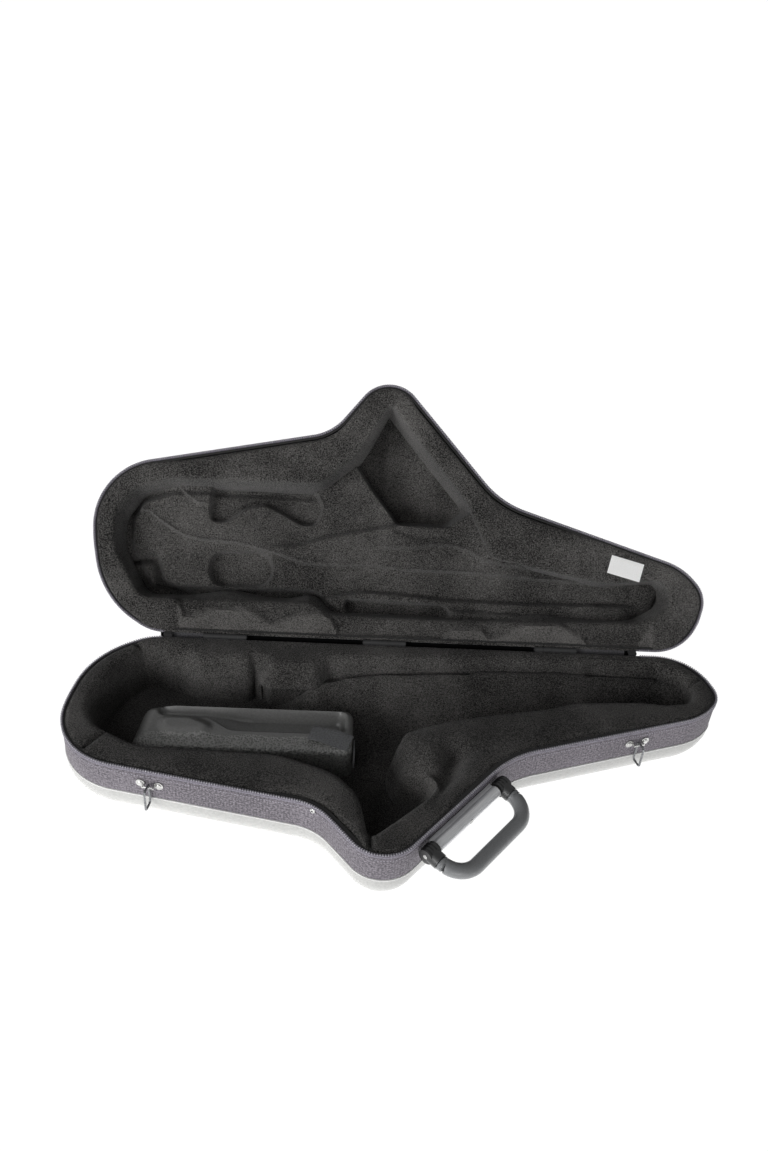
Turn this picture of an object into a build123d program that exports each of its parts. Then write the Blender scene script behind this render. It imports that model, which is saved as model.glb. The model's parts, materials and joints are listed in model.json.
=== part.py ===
from build123d import *
import math
import os

# A tenor saxophone case, open: the base half stands on the table and the lid half leans back.
# X runs along the hinge, Y away from the person who opens it, Z up. Lengths are millimetres.
# Both halves share one plan outline. Each half is drawn with its rim at height zero and its
# hollow upwards, and is then lifted onto the table or turned over onto the hinge.

# Whole case
case_length = 821.0
case_width = 342.0
base_depth = 86.0
lid_depth = 100.0
rim_gap = 6.0
open_angle = 128.7
middle_share = 0.5
origin_share = 0.38
overrun = 30.0

# Plan outline: corner places as shares of the case's length and width, corner radii as shares
# of its width. It runs from the hinge round the bow end, the bell point and the neck end.
outline_shares = [
    (0.099, 0.000, 0.184),
    (0.019, 0.120, 0.339),
    (0.002, 0.342, 0.585),
    (-0.005, 0.614, 0.257),
    (0.376, 0.801, 0.208),
    (0.466, 1.070, 0.129),
    (0.657, 0.558, 0.371),
    (0.964, 0.333, 0.249),
    (1.005, 0.228, 0.111),
    (0.993, 0.123, 0.123),
    (0.966, 0.000, 0.181),
]
# Most of a side that the arcs at its two ends may take
side_arc_share = 0.96
front_wall = 3
bell_wall = 5
neck_wall = 6
hinge_wall = 10

# Layers of each half, from the outside in
skin = 1.6
seat = 0.3
base_core = 5.0
lid_core = 2.6
lower_radius = 38.0
# A curved edge is followed by two flats that touch its curve at a third and two thirds of the
# turn: how far they cut into the level face and the wall, as shares of the curve's radius
level_flat_share = 0.423
wall_flat_share = 0.732
second_flat_share = 0.309
base_crease = 42.0
lid_crease = 46.0
bead = 1.3
core_inset = skin + seat
base_liner = core_inset + base_core + seat
lid_liner = core_inset + lid_core + seat

# Zip
tape_thickness = 1.0
tape_below_rim = 9.0
tape_above_rim = 1.2
coil_width = 3.0
coil_play = 0.15
zip_start_share = 0.120
zip_end_share = 0.891
slider_length = 11.0
slider_depth = 6.0
slider_height = 4.8
slider_round = 1.6
pull_length = 20.0
pull_width = 7.0
pull_thickness = 1.2
pull_hole = 1.8
pull_drop = 4.0

# Plush of the base: the ring's inner edge, as shares like the outline's
base_hollow_shares = [
    (0.092, 0.065, 0.041),
    (0.058, 0.146, 0.146),
    (0.027, 0.327, 0.205),
    (0.041, 0.468, 0.132),
    (0.114, 0.567, 0.175),
    (0.319, 0.585, 0.351),
    (0.400, 0.655, 0.205),
    (0.436, 0.766, 0.175),
    (0.449, 0.942, 0.018),
    (0.485, 0.848, 0.058),
    (0.532, 0.754, 0.088),
    (0.577, 0.599, 0.041),
    (0.502, 0.439, 0.041),
    (0.624, 0.357, 0.263),
    (0.767, 0.275, 0.175),
    (0.914, 0.263, 0.175),
    (0.967, 0.246, 0.053),
    (0.965, 0.111, 0.047),
    (0.928, 0.073, 0.088),
    (0.804, 0.094, 0.035),
    (0.792, 0.058, 0.035),
    (0.487, 0.082, 0.439),
    (0.319, 0.170, 0.070),
    (0.297, 0.058, 0.041),
]
crown_height = 1.5
crown_radius = 6.0
# Most of the ring's narrowest wall, beside its shoulder, that the crown's curve may take
crown_wall_share = 0.75
shoulder_width = 4.0
shoulder_drop = 1.2
floor_pad = 8.0
seam_width = 0.6
seam_channel = 2.2
# Seams of the ring: centre as shares of length and width, direction in degrees from the hinge
seam_shares = {
    "front": (0.051, 0.561, 54.0),
    "point": (0.448, 0.962, 90.0),
    "neck": (0.982, 0.112, 28.0),
    "back": (0.079, 0.034, -50.0),
}
seam_reach = 60.0

# Bed for the instrument's body: a tapered channel that narrows to the neck end
bed_below_rim = 14.0
bed_start_share = 0.441
bed_lead_share = 0.05
bed_front_share = 0.439
channel_start_radius = 52.0
channel_end_radius = 30.0
channel_start_share = 0.257
channel_end_share = 0.178
channel_below_rim = 2.0
channel_finish_share = 0.975

# Moulded tray for small pieces, in the front left of the base
tray_left_share = 0.110
tray_right_share = 0.428
tray_back_share = 0.287
tray_front_share = 0.497
tray_below_rim = 20.0
tray_wall = 2.5
tray_corner = 10.0
tray_edge = 5.0
trough_depth = 38.0
trough_floor_edge = 3.0
trough_shares = [
    (0.136, 0.310, 0.012),
    (0.136, 0.339, 0.013),
    (0.209, 0.339, 0.058),
    (0.244, 0.401, 0.058),
    (0.412, 0.401, 0.018),
    (0.412, 0.310, 0.018),
]
hump_length = 46.0
hump_width = 20.0
hump_height = 3.0
hump_share = 0.172
hump_depth_share = 0.405

# Strap of the tray
strap_width = 25.0
strap_length = 52.0
strap_thickness = 1.6
strap_turn = 20.0
strap_tail_length = 24.0
strap_fold_share = 0.470
patch_size = 10.0

# Handle on the wall right of the bell point
handle_share = 0.565
handle_below_rim = 14.0
handle_span = 133.0
handle_reach = 45.0
handle_bend = 28.0
handle_droop = 10.0
grip_radius = 9.0
sleeve_radius = 7.2
sleeve_foot = 9.0
pin_radius = 3.0
pin_play = 0.05
collar_radius = 9.4
collar_length = 17.0
collar_neck = 15.0
collar_rib = 0.8
collar_ribs = 3
collar_gap = 2.0
wall_clear = 0.5
sleeve_length = handle_span - collar_length - 2 * collar_gap
handle_offset = seat + tape_thickness + wall_clear + collar_radius + collar_rib
screw_radius = 2.9
screw_height = 1.8
screw_slot = 0.8

# Shoulder strap rings on the front walls
ring_front_share = 0.389
ring_neck_share = 0.660
ring_below_rim = 19.0
ring_wire = 1.4
ring_flats = 8
ring_width = 14.0
ring_length = 30.0
ring_play = 0.15
bar_height = 6.0
foot_spacing = 22.0
foot_radius = 5.4
foot_thickness = 1.3
rivet_radius = 3.0
rivet_height = 1.4
eyelet_radius = 3.2
eyelet_hole = 1.3
eyelet_height = 1.2
eyelet_corner = 4
eyelet_lift = 0.1
eyelet_below_rim = 4.6

# Three leaf hinges on the back wall
barrel_radius = 3.5
barrel_clear = 0.4
hinge_offset = barrel_radius + barrel_clear
hinge_pin_radius = 1.5
leaf_thickness = 1.5
leaf_height = 22.0
leaf_length = 56.0
leaf_gap = 0.3
leaf_round = 5.0
knuckles = 5
leaf_top = 1.2
pin_head = 2.4
pin_head_height = 0.8
hinge_centre_shares = [0.218, 0.475, 0.756]
leaf_rivet_spacing = 34.0
leaf_rivet_drop = 14.0
spine_height = 26.0
spine_gap = 2.0
spine_start_share = 0.137
spine_end_share = 0.872

# Plush of the lid
lid_hollow_shares = [
    (0.083, 0.135, 0.070),
    (0.039, 0.351, 0.175),
    (0.054, 0.544, 0.105),
    (0.118, 0.594, 0.117),
    (0.361, 0.599, 0.117),
    (0.418, 0.719, 0.117),
    (0.470, 0.936, 0.018),
    (0.526, 0.766, 0.175),
    (0.604, 0.544, 0.117),
    (0.646, 0.327, 0.088),
    (0.832, 0.246, 0.292),
    (0.938, 0.257, 0.053),
    (0.928, 0.123, 0.053),
    (0.572, 0.088, 0.585),
    (0.385, 0.091, 0.088),
    (0.352, 0.135, 0.058),
]
insert_below_rim = 44.0
pad_wall = 4.0
bell_pocket_shares = [
    (0.429, 0.700, 0.058),
    (0.468, 0.880, 0.018),
    (0.523, 0.745, 0.175),
    (0.586, 0.570, 0.058),
    (0.563, 0.480, 0.058),
    (0.484, 0.500, 0.047),
]
bell_pocket_depth = 38.0
key_recess_shares = [
    (0.185, 0.585, 0.041),
    (0.185, 0.459, 0.041),
    (0.226, 0.456, 0.041),
    (0.262, 0.505, 0.058),
    (0.312, 0.459, 0.058),
    (0.361, 0.468, 0.041),
    (0.359, 0.575, 0.047),
]
key_recess_depth = 9.0
guard_recess_share = 0.238
guard_recess_width_share = 0.243
guard_recess_length = 83.0
guard_recess_width = 46.0
guard_recess_round = 20.0
boss_share = 0.091
boss_width_share = 0.232
boss_length = 24.0
boss_height = 14.0
boss_round = 6.0
groove_start_share = 0.440
groove_end_share = 0.915
groove_width_share = 0.190
groove_start_radius = 26.0
groove_end_radius = 15.0
label_share = 0.868
label_width_share = 0.318
label_length = 46.0
label_width = 25.0
label_thickness = 0.5
label_turn = -9.0
label_round = 2.5

rim_height = base_depth
back_wall = case_width * origin_share
hinge_y = back_wall + hinge_offset
hinge_z = rim_gap * middle_share
mid_gap = rim_gap * middle_share


def plan_point(length_share, width_share):
    """Place in plan of a pair of shares of the case's length and width."""
    return Vector(case_length * (length_share - middle_share), case_width * (origin_share - width_share))


def fitted_radii(places, rows):
    """Corner radii, limited so that two neighbouring arcs leave a straight piece of their side."""
    radii = [case_width * radius_share for _, _, radius_share in rows]
    reaches = []
    for index, here in enumerate(places):
        arrive, leave = here - places[index - 1], places[(index + 1) % len(places)] - here
        reaches.append(radii[index] * math.tan(math.radians(arrive.get_angle(leave)) / 2))
    limits = []
    for index, here in enumerate(places):
        side = (here - places[index - 1]).length
        limits.append(side * side_arc_share / (reaches[index - 1] + reaches[index]))
    limits.append(limits[0])
    return [radius * min(1, limits[index], limits[index + 1]) for index, radius in enumerate(radii)]


def inset_outline(inset):
    """Corners and radii of the plan outline with every side moved inwards."""
    places = [plan_point(length_share, width_share) for length_share, width_share, _ in outline_shares]
    plain = fitted_radii(places, outline_shares)
    corners, radii = [], []
    for index, radius in enumerate(plain):
        here, after = places[index], places[(index + 1) % len(places)]
        arrive, leave = (here - places[index - 1]).normalized(), (after - here).normalized()
        first, second = Vector(-arrive.Y, arrive.X), Vector(-leave.Y, leave.X)
        corners.append(here + (first + second) * (inset / (1 + first.dot(second))))
        outward_turn = arrive.cross(leave).Z > 0
        radii.append(radius + (-inset if outward_turn else inset))
    return corners, radii


def rounded_face(corners, radii):
    """Flat face bounded by straight sides and tangent corner arcs."""
    return make_face(FilletPolyline(*corners, radius=radii, close=True).edges())


def share_face(rows):
    """Flat face of an inner outline that is given as shares of the case."""
    corners = [plan_point(length_share, width_share) for length_share, width_share, _ in rows]
    return rounded_face(corners, fitted_radii(corners, rows))


def raise_face(face, bottom, top):
    """Straight-sided block from a plan face, between two heights."""
    return extrude(Pos(0, 0, bottom) * face, amount=top - bottom, dir=(0, 0, 1))


def outline_block(inset, bottom, top):
    """Straight-sided block of the plan outline."""
    return raise_face(rounded_face(*inset_outline(inset)), bottom, top)


def two_flats(solid, end, wire, radius):
    """Bevel the edge of a solid's lowest or highest face twice, along a curve of this radius."""
    level = solid.faces().sort_by(Axis.Z)[end]
    cut_in, cut_down = radius * level_flat_share, radius * wall_flat_share
    solid = chamfer(wire(level).edges(), cut_in, cut_down, reference=level)
    level = solid.faces().sort_by(Axis.Z)[end]
    return chamfer(wire(level).edges(), radius * second_flat_share)


def outer_wire(face):
    """Outer boundary of a face."""
    return face.outer_wire()


def hole_wire(face):
    """Boundary of a face's only hole."""
    return face.inner_wires()[0]


def rounded_block(inset, bottom, top, radius):
    """Block of the plan outline whose bottom edge curves inwards."""
    return two_flats(outline_block(inset, bottom, top), 0, outer_wire, radius)


def half_core(depth, thickness):
    """Moulded tray: the stiff wall and floor of one half."""
    outer = rounded_block(core_inset, core_inset - depth, 0, lower_radius - core_inset)
    inner_inset = core_inset + thickness
    inner = rounded_block(inner_inset, inner_inset - depth, overrun, lower_radius - inner_inset)
    return outer - inner


def half_lower_cover(depth, crease):
    """Smooth cover of the curved lower part and the flat face, up to the bead."""
    top = -crease - bead - seat
    outer = rounded_block(0, -depth, top, lower_radius)
    inner = rounded_block(skin, skin - depth, overrun, lower_radius - skin)
    return outer - inner


def half_side_cover(crease):
    """Textile cover of the upright wall, from the bead to the rim."""
    bottom = -crease + bead + seat
    return outline_block(0, bottom, 0) - outline_block(skin, bottom - overrun, overrun)


def half_piping(crease):
    """Blunt-nosed bead that hides the joint of the two covers."""
    outer = outline_block(-bead, -crease - bead, -crease + bead)
    nosed = chamfer(outer.edges().group_by(Axis.Z)[0] + outer.edges().group_by(Axis.Z)[-1], bead / 2)
    return nosed - outline_block(skin, -crease - overrun, -crease + overrun)


def zip_opening():
    """Space along the hinge where the zip has neither tape nor coil."""
    start, end = plan_point(zip_start_share, 0), plan_point(zip_end_share, 0)
    centre = (start + end) * middle_share
    return Pos(centre.X, centre.Y, 0) * Box(end.X - start.X, overrun, overrun * 2)


def half_tape():
    """Zip tape, sewn to the outside of the wall just under the rim."""
    outer = outline_block(-tape_thickness - seat, -tape_below_rim, tape_above_rim)
    return outer - outline_block(-seat, -overrun, overrun) - zip_opening()


def half_coil():
    """Run of zip teeth on the tape's upper edge, half of the zip's thickness."""
    outer_inset = -tape_thickness - seat
    outer = outline_block(outer_inset, tape_above_rim, mid_gap - coil_play)
    return outer - outline_block(outer_inset + coil_width, -overrun, overrun) - zip_opening()


def liner_block(inset, depth, crown):
    """The whole space inside a core, up to the crown of its plush."""
    return rounded_block(inset, inset - depth, crown, lower_radius - inset)


def crowned_ring(block, hollow_rows, liner):
    """Padded ring round a hollow, with a crowned top and rounded shoulders."""
    narrowest = case_width * min(width_share for _, width_share, _ in hollow_rows) - liner
    crown = min(crown_radius, (narrowest - shoulder_width) * crown_wall_share)
    ring = block - raise_face(share_face(hollow_rows), -lid_depth - base_depth, overrun)
    top = ring.faces().sort_by(Axis.Z)[-1]
    ring = chamfer(outer_wire(top).edges(), shoulder_width, shoulder_drop, reference=top)
    return two_flats(ring, -1, hole_wire, crown)


def seam_cutter(length_share, width_share, angle):
    """Thin cut through the ring with a drawn-in channel along its top."""
    centre = plan_point(length_share, width_share)
    cut = Box(seam_reach, seam_width, base_depth * 2)
    channel = Pos(0, 0, crown_height) * Cylinder(seam_channel, seam_reach, rotation=(0, 90, 0))
    return Pos(centre.X, centre.Y, 0) * Rot(0, 0, angle) * (cut + channel)


def base_pads():
    """The base's plush ring, cut at its four seams into named cushions."""
    bottom = base_liner - base_depth + floor_pad + seat
    block = liner_block(base_liner, base_depth, crown_height)
    block = block - outline_block(-overrun, -base_depth - overrun, bottom)
    ring = crowned_ring(block, base_hollow_shares, base_liner)
    for place in seam_shares.values():
        ring = ring - seam_cutter(*place)
    cushions = ring.solids().sort_by(SortBy.VOLUME)[-4:]
    left = min(cushions, key=lambda piece: piece.center().X)
    back = max(cushions, key=lambda piece: piece.center().Y)
    rest = [piece for piece in cushions if piece not in (left, back)]
    rest.sort(key=lambda piece: piece.center().X)
    return {"base_pad_end": left, "base_pad_front": rest[0], "base_pad_neck": rest[1], "base_pad_back": back}


def base_floor():
    """Plush panel on the base's floor."""
    top = base_liner - base_depth + floor_pad
    return liner_block(base_liner, base_depth, 0) - outline_block(-overrun, top, overrun)


def share_block(left, right, back, front, bottom, top):
    """Straight block between two length shares and two width shares."""
    low, high = plan_point(left, front), plan_point(right, back)
    centre = (low + high) * middle_share
    size = high - low
    return Pos(centre.X, centre.Y, (bottom + top) / 2) * Box(size.X, size.Y, top - bottom)


def cone_between(start, end, start_radius, end_radius):
    """Tapered round bar between two points."""
    first = Plane(origin=start, z_dir=end - start) * Circle(start_radius)
    second = Plane(origin=end, z_dir=end - start) * Circle(end_radius)
    return loft([first, second])


def tapered_channel(rows, start_radius, end_radius, height):
    """Round bar along the case that narrows towards the neck end, to cut a channel with."""
    (start_share, start_width), (end_share, end_width) = rows
    rise = Vector(0, 0, height)
    start, end = plan_point(start_share, start_width) + rise, plan_point(end_share, end_width) + rise
    return cone_between(start, end, start_radius, end_radius)


def body_bed():
    """Plush bed that fills the long part of the hollow, with the body's channel in it."""
    bottom = base_liner - base_depth + floor_pad + seat
    hollow = raise_face(offset(share_face(base_hollow_shares), amount=-seat), bottom, -bed_below_rim)
    region = share_block(bed_start_share, 1, -origin_share, bed_front_share, bottom - overrun, overrun)
    start = (bed_start_share - bed_lead_share, channel_start_share)
    rows = [start, (channel_finish_share, channel_end_share)]
    channel = tapered_channel(rows, channel_start_radius, channel_end_radius, -channel_below_rim)
    bed = (hollow & region) - channel
    return bed.solids().sort_by(SortBy.VOLUME)[-1]


def tray_shape(wall, trough_rows):
    """Outer form of the tray, or with a wall the form of the space under it."""
    bottom = base_liner - base_depth + floor_pad + seat
    low, high = plan_point(tray_left_share, tray_front_share), plan_point(tray_right_share, tray_back_share)
    centre, size = (low + high) * middle_share, high - low
    face = RectangleRounded(size.X - 2 * wall, size.Y - 2 * wall, tray_corner - wall)
    low = bottom - (overrun if wall else 0)
    body = raise_face(Pos(centre.X, centre.Y) * face, low, -tray_below_rim - wall)
    body = two_flats(body, -1, outer_wire, tray_edge - wall)
    trough = share_face(trough_rows)
    if wall:
        trough = offset(trough, amount=wall)
    well = raise_face(trough, -tray_below_rim - trough_depth - wall, overrun)
    return body - chamfer(well.edges().group_by(Axis.Z)[0], trough_floor_edge + wall)


def neck_tray():
    """Thin-walled moulded tray with a trough and a low hump on its near rim."""
    shell = tray_shape(0, trough_shares) - tray_shape(tray_wall, trough_shares)
    place = plan_point(hump_share, hump_depth_share)
    plan = Pos(place.X, place.Y) * RectangleRounded(hump_length, hump_width, hump_width / 3)
    hump = raise_face(plan, -tray_below_rim - tray_wall / 2, hump_height - tray_below_rim)
    return shell + chamfer(hump.edges().group_by(Axis.Z)[-1], hump_height * 0.8)


def strap_fold():
    """Plane of the strap's fold: origin at the fold's centre, X along the fold, Z up."""
    corner = plan_point(tray_right_share, strap_fold_share)
    turned = Vector(math.sin(math.radians(strap_turn)), math.cos(math.radians(strap_turn)))
    level_end = corner.X - tray_edge * (level_flat_share + second_flat_share)
    return Plane(origin=(level_end, corner.Y, -tray_below_rim + seat), x_dir=turned, z_dir=(0, 0, 1))


def strap_flap():
    """Free end of the strap, lying over the tray's near rim."""
    fold = strap_fold()
    face = Pos(0, strap_length / 2) * RectangleRounded(strap_width, strap_length, strap_width / 6)
    return fold * extrude(face, amount=strap_thickness)


def strap_tail():
    """Sewn end of the strap, flat on the tray's right wall, with the fastening patch."""
    corner = plan_point(tray_right_share, strap_fold_share)
    top = -tray_below_rim - tray_edge
    size = Box(strap_thickness, strap_width, strap_tail_length)
    return Pos(corner.X + seat + strap_thickness / 2, corner.Y, top - strap_tail_length / 2) * size


def wall_plane(wall, share, below_rim, outside=0):
    """Plane on an upright wall: X along the wall, Y up, Z outwards."""
    corners, _ = inset_outline(0)
    start, end = corners[wall], corners[(wall + 1) % len(corners)]
    along = (end - start).normalized()
    outward = Vector(along.Y, -along.X)
    place = start + (end - start) * share + outward * outside
    return Plane(origin=(place.X, place.Y, -below_rim), x_dir=along, z_dir=outward)


def bar_along(radius, length, place=0):
    """Round bar along a wall plane's X axis."""
    return Pos(place, 0, 0) * Cylinder(radius, length, rotation=(0, 90, 0))


def handle_plane():
    """Wall plane whose X axis is the handle's pin."""
    return wall_plane(bell_wall, handle_share, handle_below_rim, handle_offset)


def handle_sleeve():
    """Half-round bar fixed to the wall, bored for the pin, with a pocket for its screw."""
    foot_depth = handle_offset - seat - tape_thickness - seat
    foot = Pos(0, 0, -foot_depth / 2) * Box(sleeve_length, sleeve_foot, foot_depth)
    bore = bar_along(pin_radius + pin_play, sleeve_length * 2)
    sleeve = bar_along(sleeve_radius, sleeve_length) + foot - bore
    pocket = Pos(0, 0, sleeve_radius) * Cylinder(screw_radius + seat, screw_height * 2)
    return handle_plane() * (sleeve - pocket)


def handle_screw():
    """Slotted screw that holds the sleeve, sunk in its pocket."""
    head = Pos(0, 0, sleeve_radius - screw_height / 2) * Cylinder(screw_radius, screw_height)
    slot = Pos(0, 0, sleeve_radius) * Box(screw_radius * 2, screw_slot, screw_slot * 2)
    return handle_plane() * (head - slot)


def handle_pin():
    """Steel pin through the sleeve and both collars."""
    return handle_plane() * bar_along(pin_radius, handle_span + collar_length)


def swing_down(part):
    """Lower a piece of the handle from level to where it hangs, about the pin."""
    return Rot(handle_droop, 0, 0) * part


def handle_collar(side):
    """Ribbed end piece that turns on the pin and holds one end of the grip."""
    place = side * handle_span / 2
    boss = bar_along(collar_radius, collar_length, place)
    neck = Pos(place, 0, collar_neck / 2) * Cylinder(collar_radius, collar_neck)
    collar = boss + neck
    pitch = collar_length / (collar_ribs + 1)
    for rib in range(collar_ribs):
        spot = place + (rib + 1) * pitch - collar_length / 2
        ring = bar_along(collar_radius + collar_rib, pitch / 3, spot)
        collar = collar + ring
    collar = collar - bar_along(pin_radius + pin_play, collar_length * 2, place)
    return handle_plane() * swing_down(collar)


def handle_grip():
    """Closed-looking loop of the grip: a round bar bent at its two far corners."""
    half = handle_span / 2
    start = collar_neck + seat
    corners = [(-half, 0, start), (-half, 0, handle_reach), (half, 0, handle_reach), (half, 0, start)]
    path = FilletPolyline(*corners, radius=handle_bend)
    section = Plane(origin=(-half, 0, start), z_dir=(0, 0, 1)) * Circle(grip_radius)
    return handle_plane() * swing_down(sweep(section, path=path))


def ring_plane(wall, share):
    """Wall plane whose X axis is the bar that a strap ring hangs on."""
    return wall_plane(wall, share, ring_below_rim, bar_height)


def ring_saddle(wall, share):
    """Wire bar between two round feet on the wall."""
    foot_height = -bar_height + seat + foot_thickness / 2
    post_place = foot_spacing / 2 - rivet_radius - ring_wire - seat
    saddle = bar_along(ring_wire, post_place * 2)
    for side in (-1, 1):
        foot = Pos(side * foot_spacing / 2, 0, foot_height) * Cylinder(foot_radius, foot_thickness)
        post_length = -foot_height + ring_wire
        post = Pos(side * post_place, 0, ring_wire - post_length / 2) * Cylinder(ring_wire, post_length)
        saddle = saddle + foot + post
    return ring_plane(wall, share) * saddle


def ring_rivets(wall, share):
    """Domed rivet heads, one on each foot of a saddle."""
    base = -bar_height + seat + foot_thickness + pin_play
    heads = []
    for side in (-1, 1):
        dome = Cylinder(rivet_radius, rivet_height)
        dome = chamfer(dome.edges().group_by(Axis.Z)[-1], rivet_height * 0.6)
        place = Pos(side * foot_spacing / 2, 0, base + rivet_height / 2)
        heads.append(ring_plane(wall, share) * place * dome)
    return Compound(children=heads)


def strap_ring(wall, share):
    """Wire loop that hangs on the saddle's bar, square to the wall."""
    clear = 2 * ring_wire + ring_play
    centre = Pos(0, clear - ring_length / 2, ring_width / 2 - clear)
    loop = RectangleRounded(ring_width, ring_length, clear).wire()
    loop = Rot(0, 90, 0) * loop
    path = centre * loop
    start = path @ 0
    section = Plane(origin=start, z_dir=path % 0) * RegularPolygon(ring_wire, ring_flats)
    return ring_plane(wall, share) * sweep(section, path=path)


def corner_plane(corner, below_rim, outside):
    """Plane on the middle of a corner's arc: X along the wall, Y up, Z outwards."""
    corners, radii = inset_outline(0)
    here = corners[corner]
    arrive, leave = (here - corners[corner - 1]).normalized(), (corners[corner + 1] - here).normalized()
    along = (arrive + leave).normalized()
    outward = Vector(along.Y, -along.X)
    rise = radii[corner] * (1 / math.sqrt((1 + arrive.dot(leave)) / 2) - 1)
    place = here + outward * (rise + outside)
    return Plane(origin=(place.X, place.Y, -below_rim), x_dir=along, z_dir=outward)


def rim_eyelet():
    """Turned metal eyelet set in the zip tape left of the bell point."""
    plane = corner_plane(eyelet_corner, eyelet_below_rim, tape_thickness + 2 * seat + eyelet_lift)
    disc = Pos(0, 0, eyelet_height / 2) * Cylinder(eyelet_radius, eyelet_height)
    disc = chamfer(disc.edges().group_by(Axis.Z)[-1], eyelet_height * 0.6)
    return plane * (disc - Cylinder(eyelet_hole, eyelet_height * 4))


def hinge_plane(length_share):
    """Wall plane on the back whose X axis is the hinge pin, X running from right to left."""
    place = plan_point(length_share, 0)
    return Plane(origin=(place.X, hinge_y, hinge_z), x_dir=(-1, 0, 0), z_dir=(0, 1, 0))


def hinge_leaf(length_share, own_first):
    """Leaf with its own knuckles: odd ones for the base, even ones for the lid."""
    pitch = leaf_length / knuckles
    low = -hinge_z - leaf_height
    plate_place = -hinge_offset + seat + leaf_thickness / 2
    plate_top = -hinge_z - leaf_top
    plate = Box(leaf_length, plate_top - low, leaf_thickness)
    plate = fillet(plate.edges().filter_by(Axis.Z).group_by(Axis.Y)[0], leaf_round)
    leaf = Pos(0, (plate_top + low) / 2, plate_place) * plate
    for index in range(0 if own_first else 1, knuckles, 2):
        spot = (index + 0.5) * pitch - leaf_length / 2
        width = pitch - leaf_gap
        web = Pos(spot, plate_top / 2, plate_place) * Box(width, -plate_top, leaf_thickness)
        leaf = leaf + web + bar_along(barrel_radius, width, spot)
    leaf = leaf - bar_along(hinge_pin_radius + pin_play, leaf_length * 2)
    for side in (-1, 1):
        hole = Pos(side * leaf_rivet_spacing / 2, -hinge_z - leaf_rivet_drop, plate_place)
        leaf = leaf - hole * Cylinder(rivet_radius / 2, leaf_thickness * 4)
    return hinge_plane(length_share) * leaf


def hinge_pin(length_share):
    """Hinge pin with a small head at each end."""
    pin = bar_along(hinge_pin_radius, leaf_length)
    for side in (-1, 1):
        pin = pin + bar_along(pin_head, pin_head_height, side * (leaf_length + pin_head_height) / 2)
    return hinge_plane(length_share) * pin


def hinge_rivets():
    """Domed rivets of all the leaves of one half, each with its shank in its hole."""
    rivets = []
    outer = -hinge_offset + seat + leaf_thickness
    for length_share in hinge_centre_shares:
        for side in (-1, 1):
            head = Pos(0, 0, rivet_height / 2 + pin_play) * Cylinder(rivet_radius, rivet_height)
            head = chamfer(head.edges().group_by(Axis.Z)[-1], rivet_height * 0.6)
            shank = Cylinder(rivet_radius / 2 - pin_play, leaf_thickness + seat)
            shank = Pos(0, 0, -leaf_thickness / 2) * shank
            place = Pos(side * leaf_rivet_spacing / 2, -hinge_z - leaf_rivet_drop, outer)
            rivets.append(hinge_plane(length_share) * place * (head + shank))
    return Compound(children=rivets)


def spine_tape():
    """Cloth strips behind the hinge line, between and beside the leaves."""
    strips = []
    edges = [spine_start_share]
    half_leaf = (leaf_length / 2 + spine_gap) / case_length
    for centre in hinge_centre_shares:
        edges += [centre - half_leaf, centre + half_leaf]
    edges.append(spine_end_share)
    top = mid_gap - coil_play
    for index in range(0, len(edges), 2):
        start, end = plan_point(edges[index], 0), plan_point(edges[index + 1], 0)
        strip = Box(end.X - start.X, tape_thickness, top + spine_height)
        place = Pos((start.X + end.X) / 2, back_wall + seat + tape_thickness / 2, (top - spine_height) / 2)
        strips.append(place * strip)
    return Compound(children=strips)


def slider_place(length_share):
    """Place of a zip slider's centre, level with the hinge pin."""
    point = plan_point(length_share, 0)
    return Pos(point.X, back_wall + 2 * seat + tape_thickness + slider_depth / 2, hinge_z)


def zip_slider(length_share):
    """Slider body parked at one end of the zip, with the loop that holds its pull."""
    body = Box(slider_length, slider_depth, slider_height)
    body = fillet(body.edges().filter_by(Axis.Y), slider_round)
    return slider_place(length_share) * body


def zip_pull(length_share):
    """Flat pull tab that hangs from a slider."""
    face = SlotOverall(pull_length, pull_width) - Pos(pull_length / 3) * Circle(pull_hole)
    outward = Plane(origin=(0, 0, 0), x_dir=(0, 0, 1), z_dir=(0, 1, 0))
    tab = outward * extrude(face, amount=pull_thickness / 2, both=True)
    drop = Pos(0, slider_depth / 2 + seat + pull_thickness / 2, -pull_length / 3 - pull_drop)
    return slider_place(length_share) * drop * tab


def lid_border_pad():
    """Padded border of the lid: a formed ring, hollow behind, with a crowned top."""
    ring = crowned_ring(liner_block(lid_liner, lid_depth, crown_height), lid_hollow_shares, lid_liner)
    inner = outline_block(lid_liner + pad_wall, -lid_depth - overrun, crown_height - pad_wall)
    kept = raise_face(offset(share_face(lid_hollow_shares), amount=pad_wall), -lid_depth * 2, overrun)
    return ring - (inner - kept)


def insert_form(wall):
    """Outer form of the lid's insert, or with a wall the form of the space behind it."""
    bottom = lid_liner - lid_depth
    insert = raise_face(
        offset(share_face(lid_hollow_shares), amount=-seat - wall),
        bottom - (overrun if wall else 0),
        -insert_below_rim - wall,
    )
    place = plan_point(guard_recess_share, guard_recess_width_share)
    guard = RectangleRounded(guard_recess_length, guard_recess_width, guard_recess_round)
    guard = Pos(place.X, place.Y) * guard
    hollows = [
        (share_face(bell_pocket_shares), bell_pocket_depth),
        (share_face(key_recess_shares), key_recess_depth),
        (guard, key_recess_depth),
    ]
    for face, depth in hollows:
        if wall:
            face = offset(face, amount=wall)
        insert = insert - raise_face(face, -insert_below_rim - depth - wall, overrun)
    rows = [(groove_start_share, groove_width_share), (groove_end_share, groove_width_share)]
    start_radius, end_radius = groove_start_radius + wall, groove_end_radius + wall
    return insert - tapered_channel(rows, start_radius, end_radius, -insert_below_rim)


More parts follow.
